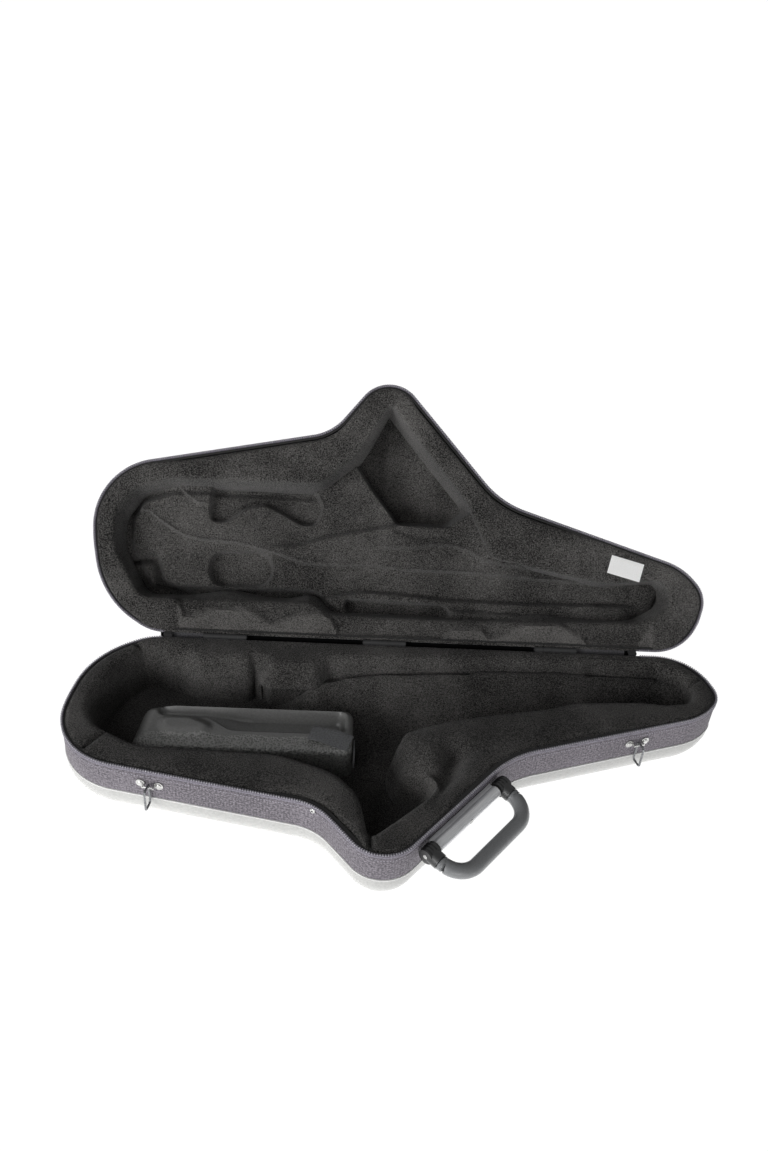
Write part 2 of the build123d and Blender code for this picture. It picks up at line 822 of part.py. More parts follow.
def lid_insert():
    """Formed plush insert of the lid with its pocket, recesses, boss and groove."""
    place = plan_point(boss_share, boss_width_share)
    boss = RectangleRounded(boss_length, boss_length, boss_round)
    boss = raise_face(Pos(place.X, place.Y) * boss, -insert_below_rim, boss_height - insert_below_rim)
    boss = chamfer(boss.edges().group_by(Axis.Z)[-1], boss_round / 2)
    space = liner_block(lid_liner + seat, lid_depth - seat, overrun)
    return (insert_form(0) & space) - insert_form(pad_wall) + boss


def label():
    """Plain sewn label on the lid's padded border."""
    place = plan_point(label_share, label_width_share)
    face = Rot(0, 0, label_turn) * RectangleRounded(label_length, label_width, label_round)
    low = crown_height + seat
    return raise_face(Pos(place.X, place.Y) * face, low, low + label_thickness)


def on_table(part):
    """Lift a piece of the base half so that the flat bottom stands at height zero."""
    return Pos(0, 0, rim_height) * part


def on_lid(part):
    """Turn a piece of the lid half over, close it on the base and open it on the hinge."""
    closed = mirror(part, about=Plane.XY.offset(mid_gap))
    return Pos(0, 0, rim_height) * closed.rotate(Axis((0, hinge_y, hinge_z), (1, 0, 0)), -open_angle)


def base_pieces():
    """Every node of the base half, and what hangs on it."""
    pieces = {
        "base_shell": half_core(base_depth, base_core),
        "base_side_cover": half_side_cover(base_crease),
        "base_bottom_cover": half_lower_cover(base_depth, base_crease),
        "base_piping": half_piping(base_crease),
        "base_zip_tape": half_tape(),
        "base_zip_coil": half_coil(),
        "base_floor_pad": base_floor(),
        "body_bed": body_bed(),
        "neck_tray": neck_tray(),
        "strap_flap": strap_flap(),
        "strap_tail": strap_tail(),
        "handle_sleeve": handle_sleeve(),
        "handle_screw": handle_screw(),
        "handle_pin": handle_pin(),
        "handle_collar_lower": handle_collar(-1),
        "handle_collar_upper": handle_collar(1),
        "handle_grip": handle_grip(),
        "rim_eyelet": rim_eyelet(),
        "spine_tape_base": spine_tape(),
        "hinge_rivets_base": hinge_rivets(),
    }
    pieces.update(base_pads())
    for side, wall, share in (("left", front_wall, ring_front_share), ("right", neck_wall, ring_neck_share)):
        pieces["ring_saddle_" + side] = ring_saddle(wall, share)
        pieces["ring_rivets_" + side] = ring_rivets(wall, share)
        pieces["strap_ring_" + side] = strap_ring(wall, share)
    slider_share = (slider_length / 2 + seat) / case_length
    for side, share in (("left", zip_start_share + slider_share), ("right", zip_end_share - slider_share)):
        pieces["zip_slider_" + side] = zip_slider(share)
        pieces["zip_pull_" + side] = zip_pull(share)
    for number, share in enumerate(hinge_centre_shares, start=1):
        pieces[f"hinge_leaf_base_{number}"] = hinge_leaf(share, True)
        pieces[f"hinge_pin_{number}"] = hinge_pin(share)
    return pieces


def lid_pieces():
    """Every node of the lid half."""
    pieces = {
        "lid_shell": half_core(lid_depth, lid_core),
        "lid_side_cover": half_side_cover(lid_crease),
        "lid_top_cover": half_lower_cover(lid_depth, lid_crease),
        "lid_piping": half_piping(lid_crease),
        "lid_zip_tape": half_tape(),
        "lid_zip_coil": half_coil(),
        "lid_border_pad": lid_border_pad(),
        "lid_insert": lid_insert(),
        "label": label(),
        "spine_tape_lid": spine_tape(),
        "hinge_rivets_lid": hinge_rivets(),
    }
    for number, share in enumerate(hinge_centre_shares, start=1):
        pieces[f"hinge_leaf_lid_{number}"] = hinge_leaf(share, False)
    return pieces


def main():
    """Write one file per node."""
    os.makedirs("parts", exist_ok=True)
    for name, part in base_pieces().items():
        export_step(on_table(part), f"parts/{name}.step")
    for name, part in lid_pieces().items():
        export_step(on_lid(part), f"parts/{name}.step")


main()
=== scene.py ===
"""Looks of an open tenor saxophone case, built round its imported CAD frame.

Plans are in millimetres: x runs along the hinge from the middle of the case, y away from the viewer
with zero at the back wall, z up from the rim of a half, so that its hollow lies below zero. Tables
give u, the distance from the case's left end, and v, the distance from its back wall.
"""

import json
import logging
import math
from dataclasses import dataclass, field
from enum import Enum
from functools import cache
from typing import Callable, Iterable, Sequence

import bmesh
import bpy
import numpy as np
from mathutils import Matrix, Vector, geometry

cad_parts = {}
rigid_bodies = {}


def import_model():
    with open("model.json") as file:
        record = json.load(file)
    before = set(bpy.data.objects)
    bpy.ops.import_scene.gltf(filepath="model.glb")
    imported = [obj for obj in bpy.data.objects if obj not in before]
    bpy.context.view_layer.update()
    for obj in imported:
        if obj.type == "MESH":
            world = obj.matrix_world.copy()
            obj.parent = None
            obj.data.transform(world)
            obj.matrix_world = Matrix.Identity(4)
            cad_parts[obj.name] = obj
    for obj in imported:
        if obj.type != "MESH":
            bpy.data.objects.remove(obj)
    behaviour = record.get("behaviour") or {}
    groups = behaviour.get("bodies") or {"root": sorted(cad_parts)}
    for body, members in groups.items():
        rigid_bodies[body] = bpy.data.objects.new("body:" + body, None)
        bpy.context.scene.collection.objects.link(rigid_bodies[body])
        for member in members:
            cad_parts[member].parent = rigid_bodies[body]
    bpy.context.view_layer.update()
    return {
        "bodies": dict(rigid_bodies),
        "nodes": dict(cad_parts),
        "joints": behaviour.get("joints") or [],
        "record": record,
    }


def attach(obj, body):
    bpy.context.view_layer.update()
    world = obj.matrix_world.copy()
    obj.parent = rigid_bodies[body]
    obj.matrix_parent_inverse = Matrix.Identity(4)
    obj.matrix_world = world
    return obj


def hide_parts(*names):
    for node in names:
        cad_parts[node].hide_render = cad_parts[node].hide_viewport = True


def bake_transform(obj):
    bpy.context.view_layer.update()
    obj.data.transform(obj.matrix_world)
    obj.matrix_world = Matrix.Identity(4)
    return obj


log = logging.getLogger("case")

Array = np.ndarray
Rows = Sequence[tuple[float, float, float]]
Height = Callable[[Array], Array]
Socket = bpy.types.NodeSocket

MIDDLE = 410.5
BACK = 129.96
RIM = 86.0
GAP = 6.0
HINGE = (133.86, 89.0)
OPENED = -128.7
MM = 0.001
# Stored point number and its strength that paint the lit lobes of the lid's border lighter: a painted
# highlight.
PAINTED_LIGHT_ATTRIBUTE = "painted_lobe_light"
PAINTED_LIGHT_LIFT = 0.08
# Places worked on at a time, so that the distance tables stay small.
CHUNK = 4000


class Body(Enum):
    """Names of the bodies that pieces ride on."""

    BASE = "base"
    LID = "lid"
    HANDLE = "handle"
    STRAP = "strap"


def plan(rows: Iterable[Sequence[float]]) -> Array:
    """Turns rows that start with u, v into an array of x, y."""
    places = np.array([row[:2] for row in rows], float)
    return np.stack([places[:, 0] - MIDDLE, -places[:, 1]], axis=1)


def to_uv(places: Array) -> tuple[Array, Array]:
    """Gives u and v of places whose first two numbers are x and y."""
    return places[:, 0] + MIDDLE, -places[:, 1]


def to_world(points: Array, body: Body) -> Array:
    """Places a half's points in the row frame.

    The base is lifted by its rim height. The lid is turned over, closed on the base and then
    turned open about the hinge.

    Args:
        points: N by 3 array in the half's own millimetres.
        body: which half the points belong to.

    Returns:
        N by 3 array in metres.
    """
    x, y, z = points[:, 0], points[:, 1] + BACK, points[:, 2]
    if body is Body.LID:
        turn = math.radians(OPENED)
        along, up = y - HINGE[0], RIM + GAP - z - HINGE[1]
        y = HINGE[0] + along * math.cos(turn) - up * math.sin(turn)
        z = HINGE[1] + along * math.sin(turn) + up * math.cos(turn)
    else:
        z = z + RIM
    return np.stack([x, y, z], axis=1) * MM


def step(value: Array, width: float) -> Array:
    """Smooth step from 0 to 1 centred on zero, over the given width."""
    t = np.clip(value / width + 0.5, 0, 1)
    return t * t * (3 - 2 * t)


def bell(value: Array, width: float) -> Array:
    """Smooth bump of height 1 at zero that fades over the given width."""
    return np.exp(-((value / width) ** 2))


def shoulder(distance: Array, width: Array | float) -> Array:
    """Quarter circle: 1 at distance zero, falling to 0 at the width."""
    t = np.clip(1 - distance / width, 0, 1)
    return 1 - np.sqrt(np.maximum(1 - t * t, 0))


def ripple(places: Array, rise: float) -> Array:
    """Slow unevenness of stuffed cloth: three crossed sine waves 50 to 120 mm long.

    Args:
        places: plan places.
        rise: highest swell.

    Returns:
        Height to add at each place.
    """
    x, y = places[:, 0], places[:, 1]
    waves = np.sin(x / 13.7 + y / 21.0) + np.sin(x / 8.9 - y / 11.3 + 1.7) + np.sin(x / 19.1 - y / 9.7 + 0.6)
    return waves * rise / 3


def at_height(places: Array, z: Array | float) -> Array:
    """Plan places with a height, as points."""
    return np.column_stack([places, np.broadcast_to(z, (len(places),))])


def looped(points: Array) -> Array:
    """A loop's points with the first one again at the end."""
    return np.vstack([points, points[:1]])


def run_lengths(points: Array) -> Array:
    """Length along an open run from its first point to each point."""
    return np.concatenate([[0.0], np.cumsum(np.linalg.norm(np.diff(points, axis=0), axis=1))])


def crossed(along: Array, up: Array) -> Array:
    """Rows by columns by 2 table of every pair of the two lists."""
    return np.stack(np.broadcast_arrays(along[None], up[:, None]), axis=-1)


def line_distance(places: Array, path: Array) -> Array:
    """Shortest distance from each place to an open run of straight segments.

    Args:
        places: plan places.
        path: points of the run.

    Returns:
        Distance for each place.
    """
    start, run = path[:-1], np.diff(path, axis=0)
    length = np.maximum((run**2).sum(1), 1e-9)
    best = np.full(len(places), 1e9)
    for first in range(0, len(places), CHUNK):
        part = places[first : first + CHUNK, None, :] - start[None]
        t = np.clip((part * run).sum(2) / length, 0, 1)
        best[first : first + CHUNK] = np.sqrt(((part - t[..., None] * run) ** 2).sum(2)).min(1)
    return best


def is_inside(places: Array, loop: Array) -> Array:
    """Even-odd test of places against a closed loop.

    Args:
        places: plan places.
        loop: points of the loop.

    Returns:
        Whether each place is inside.
    """
    after = np.roll(loop, -1, axis=0)
    rise = np.where(after[:, 1] == loop[:, 1], 1e-9, after[:, 1] - loop[:, 1])
    result = np.zeros(len(places), bool)
    for first in range(0, len(places), CHUNK):
        part = places[first : first + CHUNK]
        crosses = (loop[None, :, 1] > part[:, None, 1]) != (after[None, :, 1] > part[:, None, 1])
        where = loop[:, 0] + (part[:, None, 1] - loop[None, :, 1]) * (after[:, 0] - loop[:, 0]) / rise
        result[first : first + CHUNK] = (crosses & (part[:, None, 0] < where)).sum(1) % 2 == 1
    return result


def depth_in(places: Array, loop: Array) -> Array:
    """Signed distance to a closed loop, positive inside it."""
    away = line_distance(places, looped(loop))
    return np.where(is_inside(places, loop), away, -away)


@dataclass(frozen=True)
class Curve:
    """Plan curve: dense points with their inward normals."""

    points: Array
    normals: Array

    @classmethod
    def rounded(cls, rows: Rows, spacing: float = 4.0) -> "Curve":
        """Polygon with tangent arcs at its corners.

        Each corner's arc starts radius times tan(half the turn) before the corner. Two arcs that
        would not fit on the side between them are made smaller.

        Args:
            rows: u, v and radius of the corners, anticlockwise seen from above.
            spacing: wanted distance between points.

        Returns:
            The closed curve.
        """
        corners = plan(rows)
        radii = np.array([row[2] for row in rows], float)
        arrive = corners - np.roll(corners, 1, axis=0)
        side = np.linalg.norm(arrive, axis=1)
        arrive = arrive / side[:, None]
        leave = np.roll(arrive, -1, axis=0)
        cross = arrive[:, 0] * leave[:, 1] - arrive[:, 1] * leave[:, 0]
        turn = np.arctan2(cross, (arrive * leave).sum(1))
        tangent = radii * np.tan(np.abs(turn) / 2)
        room = 0.97 * side / (tangent + np.roll(tangent, 1))
        tangent = tangent * np.minimum(1.0, np.minimum(room, np.roll(room, -1)))
        radii = tangent / np.tan(np.abs(turn) / 2)
        points, normals = [], []
        for index in range(len(corners)):
            left = np.array([-arrive[index, 1], arrive[index, 0]])
            arc = abs(turn[index])
            count = max(2, math.ceil(radii[index] * arc / spacing), int(arc * 6))
            swing = np.linspace(0, turn[index], count + 1)
            cos, sin = np.cos(swing), np.sin(swing)
            spun = np.stack([left[0] * cos - left[1] * sin, left[0] * sin + left[1] * cos], axis=1)
            sign = np.sign(turn[index])
            centre = corners[index] - arrive[index] * tangent[index] + left * radii[index] * sign
            points.append(centre - spun * radii[index] * sign)
            normals.append(spun)
            after = (index + 1) % len(corners)
            start = points[-1][-1]
            end = corners[after] - leave[index] * tangent[after]
            count = int(np.linalg.norm(end - start) / spacing)
            if count > 1:
                share = np.arange(1, count) / count
                points.append(start + (end - start) * share[:, None])
                normals.append(np.repeat(spun[-1:], count - 1, axis=0))
        return cls(np.vstack(points), np.vstack(normals))

    def inset(self, distance: Array | float) -> Array:
        """Points moved along their inward normals."""
        return self.points + self.normals * np.broadcast_to(distance, (len(self.points),))[:, None]

    def rows(self, profile: Iterable[Sequence[float]]) -> Array:
        """The curve at each inset and height of a profile."""
        return np.stack([at_height(self.inset(inset), z) for inset, z in profile])

    def between(self, start: Sequence[float], end: Sequence[float]) -> "Curve":
        """Open run of the curve from the point nearest to start round to the one nearest to end.

        Args:
            start: x and y.
            end: x and y.

        Returns:
            The run as a curve.
        """
        first, last = (int(np.argmin(((self.points - np.array(p)) ** 2).sum(1))) for p in (start, end))
        if last < first:
            last += len(self.points)
        index = np.arange(first, last + 1) % len(self.points)
        return Curve(self.points[index], self.normals[index])


OUTLINE: Rows = (
    (81.3, 0, 63), (15.6, 41, 116), (1.6, 117, 200), (-4.1, 210, 88), (308.7, 274, 71), (382.6, 366, 44),
    (539.4, 191, 127), (791.4, 114, 85), (825.1, 78, 38), (815.3, 42, 42), (793.1, 0, 62),
)
CASE = Curve.rounded(OUTLINE, 3.0)


@dataclass
class Patch:
    """Piece of surface: points in a half's millimetres, faces, and a place on the cloth for each."""

    points: Array
    faces: list[tuple[int, ...]]
    cloth: Array | None = None

    def flipped(self) -> "Patch":
        """The same patch with its faces turned round."""
        return Patch(self.points, [face[::-1] for face in self.faces], self.cloth)


def grid(points: Array, closed: bool = False, cloth: Array | None = None, flip: bool = False) -> Patch:
    """Quads over a rows by columns array of points.

    Args:
        points: rows by columns by 3.
        closed: joins the last column to the first.
        cloth: rows by columns by 2 places on the cloth.
        flip: turns the faces round.

    Returns:
        The quads as a patch.
    """
    rows, columns = points.shape[:2]
    index = np.arange(rows * columns).reshape(rows, columns)
    if closed:
        index = np.hstack([index, index[:, :1]])
    quads = np.stack([index[:-1, :-1], index[:-1, 1:], index[1:, 1:], index[1:, :-1]], axis=-1).reshape(-1, 4)
    if flip:
        quads = quads[:, ::-1]
    flat = None if cloth is None else cloth.reshape(-1, 2)
    return Patch(points.reshape(-1, 3), [tuple(quad) for quad in quads.tolist()], flat)


def slab(upper: Array, lower: Array, cloth: Array | None = None, back: Array | None = None) -> list[Patch]:
    """Closed thin form between two facing grids: both faces and the four narrow edges.

    Args:
        upper: rows by columns by 3.
        lower: the same places on the other side.
        cloth: the upper face's map.
        back: the lower face's map.

    Returns:
        The six patches.
    """
    edges = [(upper[0], lower[0]), (lower[-1], upper[-1])]
    edges += [(lower[:, 0], upper[:, 0]), (upper[:, -1], lower[:, -1])]
    faces = [grid(upper, cloth=cloth), grid(lower, cloth=back, flip=True)]
    return faces + [grid(np.stack(pair)) for pair in edges]


def filled(
    loops: Sequence[Array], height: Height, spacing: float = 5.0, bands: Sequence[float] = ()
) -> Patch:
    """Height surface over the plan inside the first loop and outside the others.

    The plan is a constrained Delaunay triangulation of the loops, of points at the band distances
    inside them, and of a triangular lattice; the height of each point is a function of its place.

    Args:
        loops: closed loops of plan points.
        height: gives z for places.
        spacing: lattice distance.
        bands: distances from the loops that get their own rows of points.

    Returns:
        The surface as a patch.
    """

    def within(places: Array) -> Array:
        """Signed depth of places inside the surface's plan.

        Args:
            places: plan places.

        Returns:
            Depth of each place, positive inside.
        """
        depth = depth_in(places, loops[0])
        for hole in loops[1:]:
            depth = np.minimum(depth, -depth_in(places, hole))
        return depth

    low, high = loops[0].min(0), loops[0].max(0)
    across = np.arange(low[0], high[0], spacing)
    down = np.arange(low[1], high[1], spacing * 0.866)
    lattice = np.stack(np.meshgrid(across, down), axis=-1)
    lattice[1::2, :, 0] += spacing / 2
    lattice = lattice.reshape(-1, 2)
    chosen = [lattice[within(lattice) > max(bands, default=0) + spacing * 0.6]]
    for band in bands:
        for loop in loops:
            along = np.roll(loop, -1, axis=0) - np.roll(loop, 1, axis=0)
            normal = np.stack([-along[:, 1], along[:, 0]], axis=1)
            normal /= np.maximum(np.linalg.norm(normal, axis=1), 1e-9)[:, None]
            for sign in (1, -1):
                moved = loop + normal * band * sign
                chosen.append(moved[np.abs(within(moved) - band) < 0.12 * band])
    edges, start = [], 0
    for loop in loops:
        count = len(loop)
        edges += [(start + i, start + (i + 1) % count) for i in range(count)]
        start += count
    flat = np.vstack([*loops, *chosen])
    found = geometry.delaunay_2d_cdt([Vector(place) for place in flat.tolist()], edges, [], 0, 1e-3)
    places = np.array([place[:] for place in found[0]])
    faces = np.array(found[2])
    keep = within(places[faces].mean(1)) > 0
    return Patch(at_height(places, height(places)), [tuple(face) for face in faces[keep].tolist()], places)


def flat_filled(loop: Array, z: float, spacing: float) -> Patch:
    """Level surface at one height inside a loop."""
    return filled([loop], lambda places: np.full(len(places), z), spacing)


def skirt(top: Array, lean: Array, drop: Array, normals: Array, closed: bool = True) -> Patch:
    """Wall that hangs from a run of points.

    Args:
        top: N by 3 points along the upper edge.
        lean: distance along the normals, for each row and point.
        drop: fall below the edge, for each row and point.
        normals: N by 2 plan normals.
        closed: joins the last point to the first.

    Returns:
        The wall as a patch.
    """
    lean, drop = np.broadcast_arrays(lean, drop)
    points = np.repeat(top[None], len(drop), axis=0)
    points[..., :2] += normals[None] * lean[..., None]
    points[..., 2] -= drop
    return grid(points, closed=closed)


def linear(colour: str) -> tuple[float, float, float, float]:
    """Turns an sRGB hex colour into a linear one.

    Args:
        colour: hash sign and six hex digits.

    Returns:
        Red, green, blue and full alpha.
    """
    parts = [int(colour[i : i + 2], 16) / 255 for i in (1, 3, 5)]
    values = [p / 12.92 if p <= 0.04045 else ((p + 0.055) / 1.055) ** 2.4 for p in parts]
    return (values[0], values[1], values[2], 1.0)


def add_node(
    tree: bpy.types.NodeTree, kind: str, inputs: dict | None = None, **settings: object
) -> bpy.types.Node:
    """Adds a shader node with its settings and links.

    Args:
        tree: the node tree.
        kind: Blender's node type name without its start.
        inputs: input name or number to its value or to the output socket that feeds it.
        settings: attributes of the node, or default values of its inputs by name.

    Returns:
        The node.
    """
    made = tree.nodes.new("ShaderNode" + kind)
    for key, value in settings.items():
        label = key.replace("_", " ")
        if label in made.inputs:
            made.inputs[label].default_value = value
        else:
            setattr(made, key, value)
    for key, value in (inputs or {}).items():
        if isinstance(value, Socket):
            tree.links.new(value, made.inputs[key])
        else:
            made.inputs[key].default_value = value
    return made


class Weave(Enum):
    """Kinds of surface pattern."""

    PLUSH = "plush"
    CLOTH = "cloth"
    GRAIN = "grain"
    BRUSHED = "brushed"
    SMOOTH = "smooth"


@dataclass(frozen=True)
class Finish:
    """One real material with its colours, gloss and pattern, the pattern's size in millimetres."""

    name: str
    dark: str
    light: str
    weave: Weave
    size: float
    relief: float
    roughness: float = 0.9
    metallic: float = 0.0
    sheen: float = 0.0
    turn: float = 0.0
    low: float = 0.3
    high: float = 0.7
    specular: float = 0.5
    wear: float = 0.25

    def material(self) -> bpy.types.Material:
        """Builds the node material.

        Cloth threads follow the piece's own cloth map, everything else its Object coordinates.
        Colour runs from dark to light with the pattern. A slow cloud of wear varies it, and plush is painted
        lighter where a stored point number says so: a painted highlight on the lit lobes of the lid's border.

        Returns:
            The material.
        """
        made = bpy.data.materials.new(self.name)
        made.use_nodes = True
        tree = made.node_tree
        shader = tree.nodes["Principled BSDF"]
        place = add_node(tree, "TexCoord")
        source = place.outputs["UV" if self.weave is Weave.CLOTH else "Object"]
        base = add_node(tree, "Mapping", {"Vector": source}, Rotation=(0, 0, math.radians(self.turn)))
        pattern = self.pattern(tree, base.outputs["Vector"])
        cloud = add_node(tree, "TexNoise", {"Vector": place.outputs["Object"]}, Scale=14.0, Detail=3.0)
        worn = self.added(tree, cloud.outputs["Fac"], self.wear, pattern)
        if self.weave is Weave.PLUSH:
            # Painted highlight: the lit lobes of the lid's border are drawn lighter by a stored point number.
            painted_lobe_light = add_node(tree, "Attribute", attribute_name=PAINTED_LIGHT_ATTRIBUTE)
            worn = self.added(tree, painted_lobe_light.outputs["Fac"], PAINTED_LIGHT_LIFT, worn)
        middle = self.wear / 2
        spread = add_node(
            tree, "MapRange", {"Value": worn}, From_Min=self.low + middle, From_Max=self.high + middle
        )
        ends = {"Factor": spread.outputs["Result"], 6: linear(self.dark), 7: linear(self.light)}
        mix = add_node(tree, "Mix", ends, data_type="RGBA")
        tree.links.new(mix.outputs[2], shader.inputs["Base Color"])
        rise = {"Strength": min(1.0, self.relief), "Distance": self.size * MM}
        bump = add_node(tree, "Bump", {"Height": pattern}, **rise)
        tree.links.new(bump.outputs["Normal"], shader.inputs["Normal"])
        shader.inputs["Roughness"].default_value = self.roughness
        shader.inputs["Metallic"].default_value = self.metallic
        shader.inputs["Specular IOR Level"].default_value = self.specular
        shader.inputs["Sheen Weight"].default_value = self.sheen
        shader.inputs["Sheen Roughness"].default_value = 0.5
        return made

    def added(self, tree: bpy.types.NodeTree, value: Socket, times: float, to: Socket) -> Socket:
        """Adds a value times a number to another value."""
        return add_node(tree, "Math", {0: value, 1: times, 2: to}, operation="MULTIPLY_ADD").outputs[0]

    def pattern(self, tree: bpy.types.NodeTree, vector: Socket) -> Socket:
        """Adds the nodes of the fine pattern and returns its height from 0 to 1.

        Args:
            tree: the material's node tree.
            vector: the pattern's coordinates.

        Returns:
            The height's socket.
        """
        scale = 1000.0 / self.size
        link = {"Vector": vector}
        if self.weave is Weave.CLOTH:
            wave = {"Scale": scale / 6.28, "Distortion": 1.2, "Detail": 1.0, "Detail_Scale": 2.0}
            across, along = (add_node(tree, "TexWave", link, **wave, bands_direction=way) for way in "XY")
            ways = {0: across.outputs["Fac"], 1: along.outputs["Fac"]}
            threads = add_node(tree, "Math", ways, operation="MULTIPLY")
            fleck = add_node(tree, "TexNoise", link, Scale=scale * 0.7, Detail=2.0)
            return self.added(tree, threads.outputs[0], 0.12, fleck.outputs["Fac"])
        if self.weave is Weave.GRAIN:
            cells = add_node(tree, "TexVoronoi", link, Scale=scale, feature="SMOOTH_F1", Smoothness=0.6)
            return cells.outputs["Distance"]
        if self.weave is Weave.BRUSHED:
            drawn = add_node(tree, "Mapping", link, Scale=(0.03, 1.0, 1.0))
            lines = add_node(tree, "TexNoise", {"Vector": drawn.outputs["Vector"]}, Scale=scale, Detail=2.0)
            return lines.outputs["Fac"]
        detail = 4.0 if self.weave is Weave.PLUSH else 2.0
        return add_node(tree, "TexNoise", link, Scale=scale, Detail=detail, Roughness=0.7).outputs["Fac"]


@cache
def material_of(finish: Finish) -> bpy.types.Material:
    """The finish's node material, made once."""
    return finish.material()


# Short nylon plush on foam: no gloss, a soft edge light and a fine speckle of tufts. The tufts are
# about half a millimetre and are drawn at 1.4 mm, or they would not show.
PLUSH = Finish(
    "plush_knit", "#0e0e0e", "#767472", Weave.PLUSH, 1.4, 0.9, 1.0,
    sheen=0.15, low=0.40, high=0.68, specular=0.05,
)
# Woven polyester with a purple-grey heather, threads drawn at 1.8 mm so that they show.
TEXTILE = Finish(
    "woven_polyester", "#454147", "#7b767d", Weave.CLOTH, 1.8, 0.4, 0.85, sheen=0.05, low=0.40, high=0.70
)
# Coated cloth, calendered smooth, pale silver-grey, and the bright cord of its piping.
COATED = Finish("coated_cloth", "#9a9a98", "#adadab", Weave.SMOOTH, 2.5, 0.08, 0.42)
BEAD = Finish("piping_cord", "#bababa", "#d2d2d0", Weave.SMOOTH, 2.0, 0.1, 0.3)
# The zip: woven tape, nylon coil and polyester thread.
TAPE = Finish("zip_tape_cloth", "#4f4c54", "#7b7781", Weave.CLOTH, 1.8, 0.4, 0.9)
TEETH = Finish("nylon_coil", "#77757d", "#b0aeb5", Weave.SMOOTH, 3.0, 0.1, 0.35)
STITCH = Finish("polyester_thread", "#7d7983", "#aeaab4", Weave.SMOOTH, 1.0, 0.2, 0.6)
# Vacuum formed ABS, satin on top, with a crinkled leather grain of about 2.4 mm in front.
TRAY = Finish("formed_abs", "#636362", "#737372", Weave.SMOOTH, 2.4, 0.12, 0.34)
CRINKLE = Finish("crinkled_abs", "#5a5a59", "#8c8c8a", Weave.GRAIN, 2.4, 0.5, 0.36, low=0.2, high=0.6)
# Woven web with a loop face, matt and a little hairy, threads drawn at 1.6 mm so that they show.
WEB = Finish("loop_web", "#4d4e50", "#6b6c6e", Weave.CLOTH, 1.6, 0.5, 0.95, sheen=0.2)
# The handle: moulded soft grip, nylon collars and a drawn metal sleeve.
GRIP = Finish("moulded_grip", "#686a6b", "#77787a", Weave.SMOOTH, 1.2, 0.06, 0.34)
COLLAR = Finish("moulded_nylon", "#141415", "#1f1f20", Weave.SMOOTH, 1.2, 0.15, 0.36)
SLEEVE = Finish(
    "drawn_sleeve", "#c2c3c5", "#dcdddf", Weave.BRUSHED, 1.6, 0.3, 0.36, metallic=0.25, turn=-48.0
)
# Plated and blackened steel fittings.
RING = Finish("dark_nickel", "#4a4b4d", "#8c8d8f", Weave.BRUSHED, 1.5, 0.1, 0.3, metallic=0.8)
STEEL = Finish("nickel_plate", "#9c9c9b", "#c9c9c7", Weave.BRUSHED, 1.5, 0.1, 0.3, metallic=0.9)
HINGE_STEEL = Finish("blackened_steel", "#1a1a1b", "#2a2a2b", Weave.BRUSHED, 1.5, 0.15, 0.7)
# Woven label, moulded core, and the hinge line's one cloth in three shades: near black without gloss, partly
# its own black and partly painted shade, which also makes the zip's line of painted shade; grey at its ends
# as painted light; mid grey at the hinges.
LABEL = Finish("label_weave", "#f4f4f2", "#ffffff", Weave.CLOTH, 1.0, 0.1, 0.9)
SHELL = Finish("moulded_shell", "#0b0b0b", "#121212", Weave.SMOOTH, 2.0, 0.2, 0.8)
BLACK_CLOTH_PAINTED_SHADE = Finish("black_cloth_painted_shade", "#050505", "#0b0b0c", Weave.CLOTH, 1.6, 0.4, 0.95, specular=0.03)
GUSSET_END_PAINTED_LIGHT = Finish("gusset_end_painted_light", "#38383a", "#59585b", Weave.CLOTH, 1.6, 0.4, 0.95, specular=0.1)
GUSSET_TAB = Finish("gusset_tab_cloth", "#222223", "#39393a", Weave.CLOTH, 1.6, 0.4, 0.95, specular=0.1)


